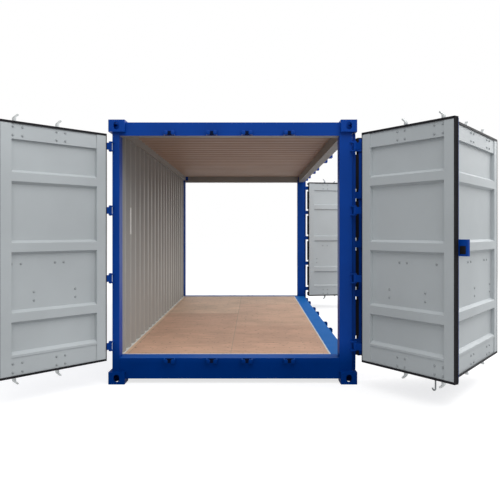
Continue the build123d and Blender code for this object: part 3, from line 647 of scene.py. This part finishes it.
def cup_head(radius, height, segments=14):
    """A cup bolt head: a sunk rim, then a dome whose radius and height follow an angle's cosine and sine."""
    angle = np.linspace(0.0, np.pi / 2, 6)
    radii = np.concatenate([[0.0, radius, radius], radius * CUP_DOME * np.cos(angle)])
    dome = height * (CUP_STEP + (1.0 - CUP_STEP) * np.sin(angle))
    heights = np.concatenate([[-CUP_SINK * MM, -CUP_SINK * MM, height * CUP_RIM], dome])
    return turned(radii, heights, segments)


def pillow(centre, half, roundness=0.2, rings=10, segments=24):
    """A superellipsoid: a box with soft edges, as sine and cosine of two angles raised to a small power."""
    rise = np.linspace(-np.pi / 2, np.pi / 2, rings)[:, None]
    turn = around(segments)
    level = soft(np.cos(rise), roundness)
    level[[0, -1]] = 0.0
    up = soft(np.sin(rise), roundness) + 0.0 * turn
    x, y = [level * soft(wave(turn), roundness) for wave in (np.cos, np.sin)]
    unit = np.stack([x, y, up], axis=-1)
    points = unit.reshape(-1, 3) * np.asarray(half) + np.asarray(centre)
    return points, quads(rings, segments, close_columns=True)


def tube(rows):
    """Faces of a tube of four-cornered rows with both its ends closed."""
    last = 4 * (rows - 1)
    ends = np.array([[0, 1, 2, 3], [last + 3, last + 2, last + 1, last]])
    return np.concatenate([quads(rows, 4, close_columns=True), ends])


def strap(path, thickness, v0, v1):
    """A bent strap: a path of u and z with its corners cut twice, thickened to both sides, from v0 to v1."""
    path = np.asarray(path, float)
    for _ in range(2):
        before, after = path[:-1], path[1:]
        cut = np.stack([(1.0 - CORNER_CUT) * before + CORNER_CUT * after,
                        CORNER_CUT * before + (1.0 - CORNER_CUT) * after], axis=1)
        path = np.concatenate([path[:1], cut.reshape(-1, 2), path[-1:]])
    step = np.gradient(path, axis=0)
    side = np.stack([-step[:, 1], step[:, 0]], axis=-1)
    side *= thickness / 2 / np.linalg.norm(side, axis=1, keepdims=True)
    corners = [(path + side, v0), (path + side, v1), (path - side, v1), (path - side, v0)]
    lines = [np.stack([line[:, 0], np.full(len(line), v), line[:, 1]], axis=-1) for line, v in corners]
    return np.stack(lines, axis=1).reshape(-1, 3), tube(len(path))


def joined(parts):
    """Several shapes as one list of points and one of faces."""
    shift = np.cumsum([0] + [len(points) for points, faces in parts[:-1]])
    faces = [faces + start for (points, faces), start in zip(parts, shift)]
    return np.concatenate([points for points, faces in parts]), np.concatenate(faces)


def ring_path(x0, x1, y0, y1, count):
    """A closed rectangle as points spread along its sides in turn, with the outward way at each point."""
    corners = np.array([(x0, y0), (x1, y0), (x1, y1), (x0, y1)])
    share = np.linspace(0.0, 1.0, count, endpoint=False)[:, None]
    sides = [here + (there - here) * share for here, there in zip(corners, np.roll(corners, -1, axis=0))]
    ways = np.repeat([(0.0, -1.0), (1.0, 0.0), (0.0, 1.0), (-1.0, 0.0)], count, axis=0)
    ways[::count] = [(-1.0, -1.0), (1.0, -1.0), (1.0, 1.0), (-1.0, 1.0)]
    return np.concatenate(sides), ways


def bead(path, way, level, across, rise):
    """A closed bead along a level path: a ring at each place, as far across and as high as given."""
    angle = around(BEAD_SIDES)
    whole = np.ones((len(path), 1))
    flat = path[:, None, :] + way[:, None, :] * (whole * across * np.cos(angle))[:, :, None]
    height = level + whole * rise * np.sin(angle)
    points = np.concatenate([flat, height[:, :, None]], axis=-1)
    return points.reshape(-1, 3), quads(len(path), BEAD_SIDES, True, True)


class CONTAINER_OT_paint(bpy.types.Operator):
    """Give every carried-over piece of the frame its finish"""

    bl_idname = "container.paint"
    bl_label = "Paint Steelwork and Floor"

    def execute(self, context):
        colours = context.scene.container_colours
        grey, tread_highlight = colours.light_and_shade_lining, colours.tread_highlight
        # Inward faces take painted light: painted shade on the wall, rails, headers and roof, a painted
        # highlight on the sills' tops
        linings = {"left_wall": ((0, 1, 0), grey), "left_top_rail": ((0, 0.8, -0.6), grey),
                   "roof_panel": ((0, 0, -1), colours.ceiling_shade),
                   "front_header": ((-0.8, 0, -0.6), grey), "rear_header": ((0.8, 0, -0.6), grey),
                   "side_header": ((0, -0.8, -0.6), grey), "front_sill": ((0, 0, 1), tread_highlight),
                   "rear_sill": ((0, 0, 1), tread_highlight), "side_sill": ((0, 0, 1), colours.side_tread)}
        finish = {name: lined_paint(f"two_coat_{name}", way, colours, tone)
                  for name, (way, tone) in linings.items()}
        finish.update({leaf.node: leaf_paint(leaf, colours) for leaf in LEAVES})
        finish["plywood_floor"] = plywood(colours)
        finish["floor_cross_members"] = speckled("bitumen_underseal", "#17181a", size=60.0, roughness=0.7)
        zinc = galvanised(colours)
        blue = outside_paint(colours)
        for name, node in FRAME["nodes"].items():
            gear = "_bar" in name
            node.data.materials.clear()
            node.data.materials.append(finish.get(name, zinc if gear else blue))
        return {"FINISHED"}


class CONTAINER_OT_seals(bpy.types.Operator):
    """Lay a ribbed rubber seal round each leaf"""

    bl_idname = "container.seals"
    bl_label = "Door Seals"

    def execute(self, context):
        black = rubber()
        seals = {"front": [], "rear": []}
        for leaf in LEAVES:
            points, faces = self.ribbed_ring(leaf)
            if leaf.body != "frame":
                made = piece(f"{leaf.node}_seal", points, faces, black, leaf.body, "rubber")
                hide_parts(f"{leaf.node}_gasket")
            else:
                end = leaf.node.split("_")[1]
                seals[end].append((points, faces))
        for end, pair in seals.items():
            made = piece(f"side_{end}_seals", *joined(pair), black, "frame", "rubber")
            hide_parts(f"side_{end}_gaskets")
        return {"FINISHED"}

    def ribbed_ring(self, leaf):
        """A profile with three ribs and a lip on the inner face, carried round the leaf and mitred."""
        out = np.array(SEAL_OUT)
        v = GASKET_FRONT + (GASKET_BACK - GASKET_FRONT) * np.array(SEAL_ACROSS)
        corners, way = ring_path(leaf.edge, leaf.edge + leaf.width, LEAF_BOTTOM, LEAF_TOP, 1)
        u = corners[:, None, 0] + way[:, None, 0] * out * GASKET_SIDE
        z = corners[:, None, 1] + way[:, None, 1] * out * GASKET_TOP
        points = np.stack([u, np.broadcast_to(v, u.shape), z], axis=-1)
        return leaf.place(points.reshape(-1, 3)), quads(4, len(out), True, True)


class CONTAINER_OT_locking_gear(bpy.types.Operator):
    """Hang the locking bars with their hooked cams, collars and handles"""

    bl_idname = "container.locking_gear"
    bl_label = "Locking Gear"

    def execute(self, context):
        zinc = bpy.data.materials["hot_dip_galvanised_steel"]
        turning = {joint["child"] for joint in FRAME["joints"]}
        for leaf in LEAVES:
            bars = [self.bar(bar) for bar in leaf.bars]
            groups = {f"{leaf.node}_bars": bars}
            if leaf.body != "frame":
                groups = {f"{leaf.node}_bar_{i}": [bar] for i, bar in enumerate(bars, 1)}
            for node, shapes in groups.items():
                points, faces = joined(shapes)
                body = node if node in turning else leaf.body
                made = piece(f"{node}_gear", leaf.place(points), faces, zinc, body, "galvanised")
                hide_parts(node)
        return {"FINISHED"}

    def bar(self, at):
        """One bar: a rod with bevelled ends, a hooked cam of bent strap at each, a collar and a handle."""
        low, high = LEAF_BOTTOM - BAR_PAST_LEAF, LEAF_TOP + BAR_PAST_LEAF
        tip = BAR_RADIUS - BAR_BEVEL
        rod, rod_faces = turned([0.0, tip, BAR_RADIUS, BAR_RADIUS, tip, 0.0],
                                [low, low, low + BAR_BEVEL, high - BAR_BEVEL, high, high], segments=20)
        shapes = [(rod + [at, BAR_PLANE, 0.0], rod_faces)]
        hook = np.array(HOOK_PATH)
        for edge, way in ((LEAF_TOP, 1.0), (LEAF_BOTTOM, -1.0)):
            path = np.stack([at + hook[:, 0], edge + way * hook[:, 1]], axis=-1)
            sides = (BAR_PLANE - HOOK_HALF_WIDTH, BAR_PLANE + HOOK_HALF_WIDTH)
            shapes.append(strap(path, HOOK_THICKNESS, *sides))
        shapes.append(pillow((at, COLLAR_PLANE, HANDLE_HEIGHT), COLLAR_HALF))
        shapes.append(pillow((at - HANDLE_HALF[0], HANDLE_PLANE, HANDLE_HEIGHT), HANDLE_HALF))
        return joined(shapes)


class CONTAINER_OT_keepers(bpy.types.Operator):
    """Round off the end doors' cam keepers with cast horns, paint the shade in each with a dark pad, and lip
    the right posts
    """

    bl_idname = "container.keepers"
    bl_label = "Keeper Horns and Post Lips"

    def execute(self, context):
        blue = bpy.data.materials["alkyd_blue_topcoat"]
        horns, shadow_pads = [], []
        spots = [(leaf.shut, bar, z) for leaf in LEAVES if leaf.body != "frame" for bar in leaf.bars
                 for z in (LEAF_TOP + KEEPER_PAST_LEAF, LEAF_BOTTOM - KEEPER_PAST_LEAF)]
        for shut, bar, z in spots:
            for side in (-HORN_OFFSET, HORN_OFFSET):
                points, faces = pillow((bar + side, HORN_PLANE, z), HORN_HALF, roundness=0.7)
                horns.append((shut.place(points), faces))
            # A dark pad on the header face: painted shade in the keeper behind the horns
            points, faces = pillow((bar, HEADER_FACE - KEEPER_SHADOW_HALF[1] / 2, z), KEEPER_SHADOW_HALF, roundness=0.3)
            shadow_pads.append((shut.place(points), faces))
        piece("keeper_horns", *joined(horns), blue, "frame", "blue")
        keeper_shade_paint = speckled("painted_keeper_shade", "#031233", size=30.0, roughness=0.6, shine=0.08)
        piece("keeper_shadows", *joined(shadow_pads), keeper_shade_paint, "frame", "dark")
        low, high = POST_ENDS
        half = (*LIP_HALF, (high - low) / 2)
        lips = [pillow((x, LIP_Y, (low + high) / 2), half, roundness=0.1) for x in (-LIP_X, LIP_X)]
        points, faces = joined(lips)
        piece("post_lips", points * MM, faces, blue, "frame", "blue")
        return {"FINISHED"}


class CONTAINER_OT_bolts(bpy.types.Operator):
    """Set the cup bolts that hold the bar guides and handle catches on each leaf's inner face"""

    bl_idname = "container.bolts"
    bl_label = "Leaf Bolts"

    side_step: number("Side Step", "Half the spacing of a guide's bolts", 0.044, 0.01, 0.1)
    rise_step: number("Rise Step", "Half the rise between a guide's bolts", 0.037, 0.01, 0.1)

    def execute(self, context):
        sizes = context.scene.container_sizes
        # The heads are a darker grey than the leaf paint over them: painted shade on the small domes
        dull = speckled("shaded_overpainted_bolt_steel", "#9ea3a5", size=15.0, roughness=0.7)
        points, faces = cup_head(sizes.bolt_radius, sizes.bolt_height)
        for leaf in LEAVES:
            places = leaf.place(self.places(leaf))
            ways = np.broadcast_to(leaf.inward, places.shape)
            piece(f"{leaf.node}_bolts", *repeated(points, faces, places, ways), dull, leaf.body, "galvanised")
        return {"FINISHED"}

    def places(self, leaf):
        """Four bolts at each guide on a rail, two at the field's guide and two at each catch, as u, v, z."""
        low, middle, high = GUIDE_HEIGHTS
        side, rise = self.side_step / MM, self.rise_step / MM
        found = []
        for bar in leaf.bars:
            found += [(bar + a, RAIL_BACK, z + b) for z in (low, high) for a in (-side, side)
                      for b in (-rise, rise)]
            found += [(bar + a, FIELD_BACK, middle) for a in (-side, side)]
            found += [(bar - CATCH_REACH, FIELD_BACK, HANDLE_HEIGHT + b) for b in (-rise, rise)]
        return np.array(found)


class CONTAINER_OT_lock_pocket_shadow(bpy.types.Operator):
    """Paint the shade in the padlock box's pocket with a dark pad"""

    bl_idname = "container.lock_pocket"
    bl_label = "Lock Pocket"

    def execute(self, context):
        leaf = next(leaf for leaf in LEAVES if leaf.node == "front_right_door")
        edge = leaf.edge + leaf.width
        past, depth, height = LOCK_SHADOW_PLACE
        points, faces = pillow((edge + past, depth, height), LOCK_SHADOW_HALF, roundness=0.15)
        # Black as painted shade in the pocket
        dark = bpy.data.materials["extruded_black_rubber"]
        piece("lock_pocket", leaf.place(points), faces, dark, leaf.body, "rubber")
        return {"FINISHED"}


class CONTAINER_OT_ledges(bpy.types.Operator):
    """Press the ledge that closes each skin above its foot rail"""

    bl_idname = "container.ledges"
    bl_label = "Skin Ledges"

    def execute(self, context):
        profile = np.array([LEDGE_RISES, LEDGE_DEPTHS]).T
        middle = np.broadcast_to(profile.mean(axis=0), profile.shape)
        rise, depth = np.moveaxis(np.stack([middle, profile, profile, middle]), -1, 0)
        for leaf in LEAVES:
            near, far = leaf.edge + STILE_WIDTH, leaf.edge + leaf.width - STILE_WIDTH
            u = np.array([near, near, far, far])[:, None] + 0.0 * rise
            points = np.stack([u, depth, LEAF_BOTTOM + BOTTOM_RAIL + rise], axis=-1)
            paint = bpy.data.materials[f"two_coat_{leaf.node}"]
            faces = quads(len(u), len(profile), close_columns=True)
            piece(f"{leaf.node}_ledge", leaf.place(points.reshape(-1, 3)), faces, paint, leaf.body, "blue")
        return {"FINISHED"}


class CONTAINER_OT_shade_flaps(bpy.types.Operator):
    """Hang a strip between the hinges of each side leaf that hangs on a post; it closes the gap to the post,
    and its black is painted shade there
    """

    bl_idname = "container.flaps"
    bl_label = "Weather Flaps"

    def execute(self, context):
        # Black rubber as painted shade in the gap between post and leaf
        black = bpy.data.materials["extruded_black_rubber"]
        lows = [LEAF_BOTTOM] + [z + HINGE_ROOM for z in SIDE_HINGE_HEIGHTS]
        highs = [z - HINGE_ROOM for z in SIDE_HINGE_HEIGHTS] + [LEAF_TOP]
        for leaf in LEAVES:
            if leaf.node not in FLAP_REACH:
                continue
            half = FLAP_REACH[leaf.node] / 2
            middle = leaf.edge + FLAP_LAP - half
            strips = [pillow((middle, FLAP_DEPTH, (low + high) / 2), (half, FLAP_HALF, (high - low) / 2),
                             roundness=0.1) for low, high in zip(lows, highs)]
            points, faces = joined(strips)
            piece(f"{leaf.node}_flaps", leaf.place(points), faces, black, leaf.body, "rubber")
        return {"FINISHED"}


class CONTAINER_OT_pin_heads(bpy.types.Operator):
    """Close both ends of every hinge pin with a low head"""

    bl_idname = "container.pin_heads"
    bl_label = "Hinge Pin Heads"

    def execute(self, context):
        blue = bpy.data.materials["alkyd_blue_topcoat"]
        points, faces = cup_head(PIN_HEAD_RADIUS * MM, PIN_HEAD_HEIGHT * MM, segments=12)
        spots, ways = [], []
        for leaf in LEAVES:
            heights = END_HINGE_HEIGHTS if leaf.body != "frame" else SIDE_HINGE_HEIGHTS
            front = FOLD_PIN_FRONT if "folding" in leaf.node else 0.0
            ends = [(z, way) for z in heights for way in (-1.0, 1.0)]
            spots += [leaf.place((0.0, front, z + way * HINGE_HALF)) for z, way in ends]
            ways += [(0.0, 0.0, way) for z, way in ends]
        piece("hinge_pin_heads", *repeated(points, faces, spots, ways), blue, "frame", "blue")
        return {"FINISHED"}


class CONTAINER_OT_welds(bpy.types.Operator):
    """Run a rippled weld bead round each post where it meets its castings"""

    bl_idname = "container.welds"
    bl_label = "Post Welds"

    def execute(self, context):
        blue = bpy.data.materials["alkyd_blue_topcoat"]
        radius = context.scene.container_sizes.weld_radius
        beads = [self.weld(sorted(front * x for x in POST_X), ys, z, radius) for ys in POST_PLANS.values()
                 for front in (1, -1) for z in POST_ENDS]
        piece("post_welds", *joined(beads), blue, "frame", "blue")
        return {"FINISHED"}

    def weld(self, xs, ys, z, radius):
        """A bead round the post, its radius rippled by a sine along the way."""
        path, way = ring_path(xs[0] * MM, xs[1] * MM, ys[0] * MM, ys[1] * MM, count=24)
        ripple = radius * (1.0 + WELD_RIPPLE * np.sin(np.arange(len(path)) * WELD_RIPPLE_STEP))[:, None]
        return bead(path, way, z * MM, ripple, ripple)


class CONTAINER_OT_floor_trim(bpy.types.Operator):
    """Screw the floor down and seal its edge"""

    bl_idname = "container.floor_trim"
    bl_label = "Floor Screws and Sealant"

    screws_across: bpy.props.IntProperty(
        name="Screws Across", description="Screws in each row across the floor", default=13, min=2, max=40)

    def execute(self, context):
        sizes = context.scene.container_sizes
        low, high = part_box("plywood_floor")
        margin = SCREW_MARGIN * MM
        rows = (np.arange(CROSS_COUNT) - (CROSS_COUNT - 1) / 2) * CROSS_PITCH * MM + CROSS_FLANGE * MM / 2
        lines = np.linspace(low.y + margin, high.y - margin, self.screws_across)
        x, y = np.meshgrid(rows, lines, indexing="ij")
        spots = np.stack([x.ravel(), y.ravel(), np.full(x.size, high.z)], axis=-1)
        points, faces = cup_head(sizes.screw_radius, SCREW_HEIGHT * MM, segments=8)
        ways = np.broadcast_to(UP, spots.shape)
        screw = speckled("phosphated_screw_steel", "#57504b", size=20.0, roughness=0.5)
        piece("floor_screws", *repeated(points, faces, spots, ways), screw, "frame", "galvanised")
        sealant = speckled("pale_polyurethane_sealant", "#d9dad6", size=45.0, roughness=0.55)
        path, way = ring_path(low.x, high.x, low.y, high.y, count=40)
        points, faces = bead(path, way, high.z, sizes.sealant_width / 2, SEALANT_RISE * MM)
        piece("floor_sealant", points, faces, sealant, "frame", "plywood")
        foot = self.wall_foot(high.z)
        piece("wall_foot_sealant", foot, tube(len(foot) // 4), sealant, "frame", "plywood")
        return {"FINISHED"}

    def wall_foot(self, level):
        """A film that fills the wall's valleys, from the wall's trapezoid wave to the line of its crests."""
        pitch = 2 * (WALL_FLAT + WALL_SLOPE)
        corners = np.cumsum([WALL_FLAT, WALL_SLOPE, WALL_FLAT, WALL_SLOPE])
        starts = (np.arange(WALL_WAVES) - WALL_WAVES / 2) * pitch - WALL_FLAT / 2
        x = (starts[:, None] + corners).ravel()
        depth = np.tile([0.0, 1.0, 1.0, 0.0], WALL_WAVES) * (WALL_CREST_Y - WALL_VALLEY_Y)
        x = np.concatenate([[-POST_X[0]], x, [POST_X[0]]])
        near = WALL_VALLEY_Y + np.concatenate([[0.0], depth, [0.0]]) - FILL_SINK
        far = np.full(len(x), WALL_CREST_Y + FILL_LAP)
        low, high = np.full(len(x), level), np.full(len(x), level + FILL_RISE * MM)
        rings = [(near, low), (far, low), (far, high), (near, high)]
        return np.stack([np.stack([x * MM, y * MM, z], axis=-1) for y, z in rings], axis=1).reshape(-1, 3)


class CONTAINER_OT_wall_strip(bpy.types.Operator):
    """Stick the blank pale strip on a crest of the closed wall"""

    bl_idname = "container.wall_strip"
    bl_label = "Wall Strip"

    height: number("Middle Height", "Height of the strip's middle above the ground", 1.61, 0.3, 2.3)

    def execute(self, context):
        sizes = context.scene.container_sizes
        points, faces = self.rounded(sizes.label_width / 2, sizes.label_height / 2)
        vinyl = speckled("blank_white_vinyl", "#d8d6d0", size=30.0, roughness=0.45)
        piece("wall_strip", points, faces, vinyl, "frame", "blue")
        return {"FINISHED"}

    def rounded(self, across, up):
        """A flat superellipse: shares of its outline, each at its lift off the wall, close to its middle."""
        share = np.array(STRIP_SHARES)[:, None]
        lift = np.array(STRIP_LIFTS)[:, None] * MM
        angle = around(STRIP_SIDES)
        x = WALL_CREST_X * MM + across * share * soft(np.cos(angle), STRIP_ROUNDNESS[0])
        z = self.height + up * share * soft(np.sin(angle), STRIP_ROUNDNESS[1])
        y = np.broadcast_to(WALL_CREST_Y * MM + lift, x.shape)
        return np.stack([x, y, z], axis=-1).reshape(-1, 3), quads(len(share), len(angle), close_columns=True)


class CONTAINER_OT_studio(bpy.types.Operator):
    """Set the pale floor, the even sky, the lamps and the camera"""

    bl_idname = "container.studio"
    bl_label = "Studio"

    def execute(self, context):
        studio = context.scene.container_studio
        self.ground()
        self.sky(context.scene, studio.sky_strength)
        powers = (studio.front_power, studio.side_power, studio.fill_power)
        for (name, (place, aim, size)), watts in zip(LAMPS.items(), powers):
            self.lamp(name, place, aim, watts, size)
        self.camera(context.scene, studio)
        context.scene.view_settings.view_transform = "Standard"
        return {"FINISHED"}

    def seen(self, tree):
        """1 for rays that show the background itself: from the camera, or through gloss or glass."""
        path = add(tree, "ShaderNodeLightPath").outputs
        shown = path["Is Camera Ray"]
        for ray in (path["Is Glossy Ray"], path["Is Transmission Ray"]):
            shown = add(tree, "ShaderNodeMath", {0: shown, 1: ray}, operation="MAXIMUM").outputs["Value"]
        return shown

    def ground(self):
        """A white floor far wider than the object, which keeps a faint shadow."""
        half = GROUND_HALF
        points = [(-half, -half, 0.0), (half, -half, 0.0), (half, half, 0.0), (-half, half, 0.0)]
        mesh = bpy.data.meshes.new("studio_floor")
        mesh.from_pydata(points, [], [(0, 1, 2, 3)])
        material = bpy.data.materials.new("white_studio_floor")
        tree = emptied(material)
        bounce = add(tree, "ShaderNodeBsdfDiffuse", {"Color": GROUND_BOUNCE})
        matt = add(tree, "ShaderNodeBsdfDiffuse", {"Color": GROUND_SHOWN})
        glow = add(tree, "ShaderNodeEmission", {"Color": WHITE, "Strength": GROUND_GLOW})
        shown = add(tree, "ShaderNodeMixShader", {0: GROUND_SHADOW, 1: glow.outputs[0], 2: matt.outputs[0]})
        mix = add(tree, "ShaderNodeMixShader",
                  {0: self.seen(tree), 1: bounce.outputs[0], 2: shown.outputs[0]})
        add(tree, "ShaderNodeOutputMaterial", {"Surface": mix.outputs[0]})
        mesh.materials.append(material)
        floor = bpy.data.objects.new("studio_floor", mesh)
        bpy.context.scene.collection.objects.link(floor)

    def sky(self, scene, strength):
        """An even white sky that lights at one strength and shows as plain white."""
        world = bpy.data.worlds.new("even_white_sky")
        tree = emptied(world)
        light = add(tree, "ShaderNodeBackground", {"Color": SKY_TINT, "Strength": strength})
        white = add(tree, "ShaderNodeBackground", {"Color": WHITE, "Strength": 1.0})
        mix = add(tree, "ShaderNodeMixShader", {0: self.seen(tree), 1: light.outputs[0], 2: white.outputs[0]})
        add(tree, "ShaderNodeOutputWorld", {"Surface": mix.outputs[0]})
        scene.world = world

    def lamp(self, name, place, aim, watts, size):
        """A wide soft lamp at a place that looks at an aim."""
        data = bpy.data.lights.new(name, "AREA")
        data.shape = "RECTANGLE"
        data.size, data.size_y = size
        data.energy = watts
        lamp = bpy.data.objects.new(name, data)
        lamp.location = place
        lamp.rotation_euler = (Vector(aim) - Vector(place)).to_track_quat("-Z", "Y").to_euler()
        bpy.context.scene.collection.objects.link(lamp)

    def camera(self, scene, studio):
        """A level camera that looks straight along the container; the shift sets it in the picture."""
        data = bpy.data.cameras.new("end_view")
        data.sensor_width = SENSOR_WIDTH
        data.lens = studio.camera_lens
        data.shift_x, data.shift_y = SHIFT
        data.clip_end = CLIP_END
        camera = bpy.data.objects.new("end_view", data)
        near_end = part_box("bottom_corner_castings")[1].x
        camera.location = (near_end + studio.camera_distance, studio.camera_side, studio.camera_height)
        camera.rotation_euler = (radians(90.0), 0.0, radians(90.0))
        scene.collection.objects.link(camera)
        scene.camera = camera


GROUPS = {"container_sizes": ContainerSizes, "container_colours": ContainerColours,
          "container_studio": ContainerStudio}
STEPS = (CONTAINER_OT_paint, CONTAINER_OT_seals, CONTAINER_OT_locking_gear, CONTAINER_OT_keepers,
         CONTAINER_OT_bolts, CONTAINER_OT_lock_pocket_shadow, CONTAINER_OT_ledges, CONTAINER_OT_shade_flaps,
         CONTAINER_OT_pin_heads, CONTAINER_OT_welds, CONTAINER_OT_floor_trim, CONTAINER_OT_wall_strip,
         CONTAINER_OT_studio)


class CONTAINER_PT_panel(bpy.types.Panel):
    """Steps that dress the container, and the values that they use"""

    bl_idname = "CONTAINER_PT_panel"
    bl_label = "Container"
    bl_space_type = "VIEW_3D"
    bl_region_type = "UI"
    bl_category = "Container"

    def draw(self, context):
        column = self.layout.column()
        for step in STEPS:
            column.operator(step.bl_idname)
        for name in GROUPS:
            group = getattr(context.scene, name)
            for key in group.__annotations__:
                column.prop(group, key)


def register():
    for group in GROUPS.values():
        bpy.utils.register_class(group)
    for name, group in GROUPS.items():
        setattr(bpy.types.Scene, name, bpy.props.PointerProperty(type=group))
    for step in STEPS:
        bpy.utils.register_class(step)
    bpy.utils.register_class(CONTAINER_PT_panel)


def unregister():
    bpy.utils.unregister_class(CONTAINER_PT_panel)
    for step in reversed(STEPS):
        bpy.utils.unregister_class(step)
    for name in GROUPS:
        delattr(bpy.types.Scene, name)
    for group in reversed(list(GROUPS.values())):
        bpy.utils.unregister_class(group)


def main():
    register()
    bpy.ops.container.paint()
    bpy.ops.container.seals()
    bpy.ops.container.locking_gear()
    bpy.ops.container.keepers()
    bpy.ops.container.bolts()
    bpy.ops.container.lock_pocket()
    bpy.ops.container.ledges()
    bpy.ops.container.flaps()
    bpy.ops.container.pin_heads()
    bpy.ops.container.welds()
    bpy.ops.container.floor_trim()
    bpy.ops.container.wall_strip()
    bpy.ops.container.studio()


if __name__ == "__main__":
    main()
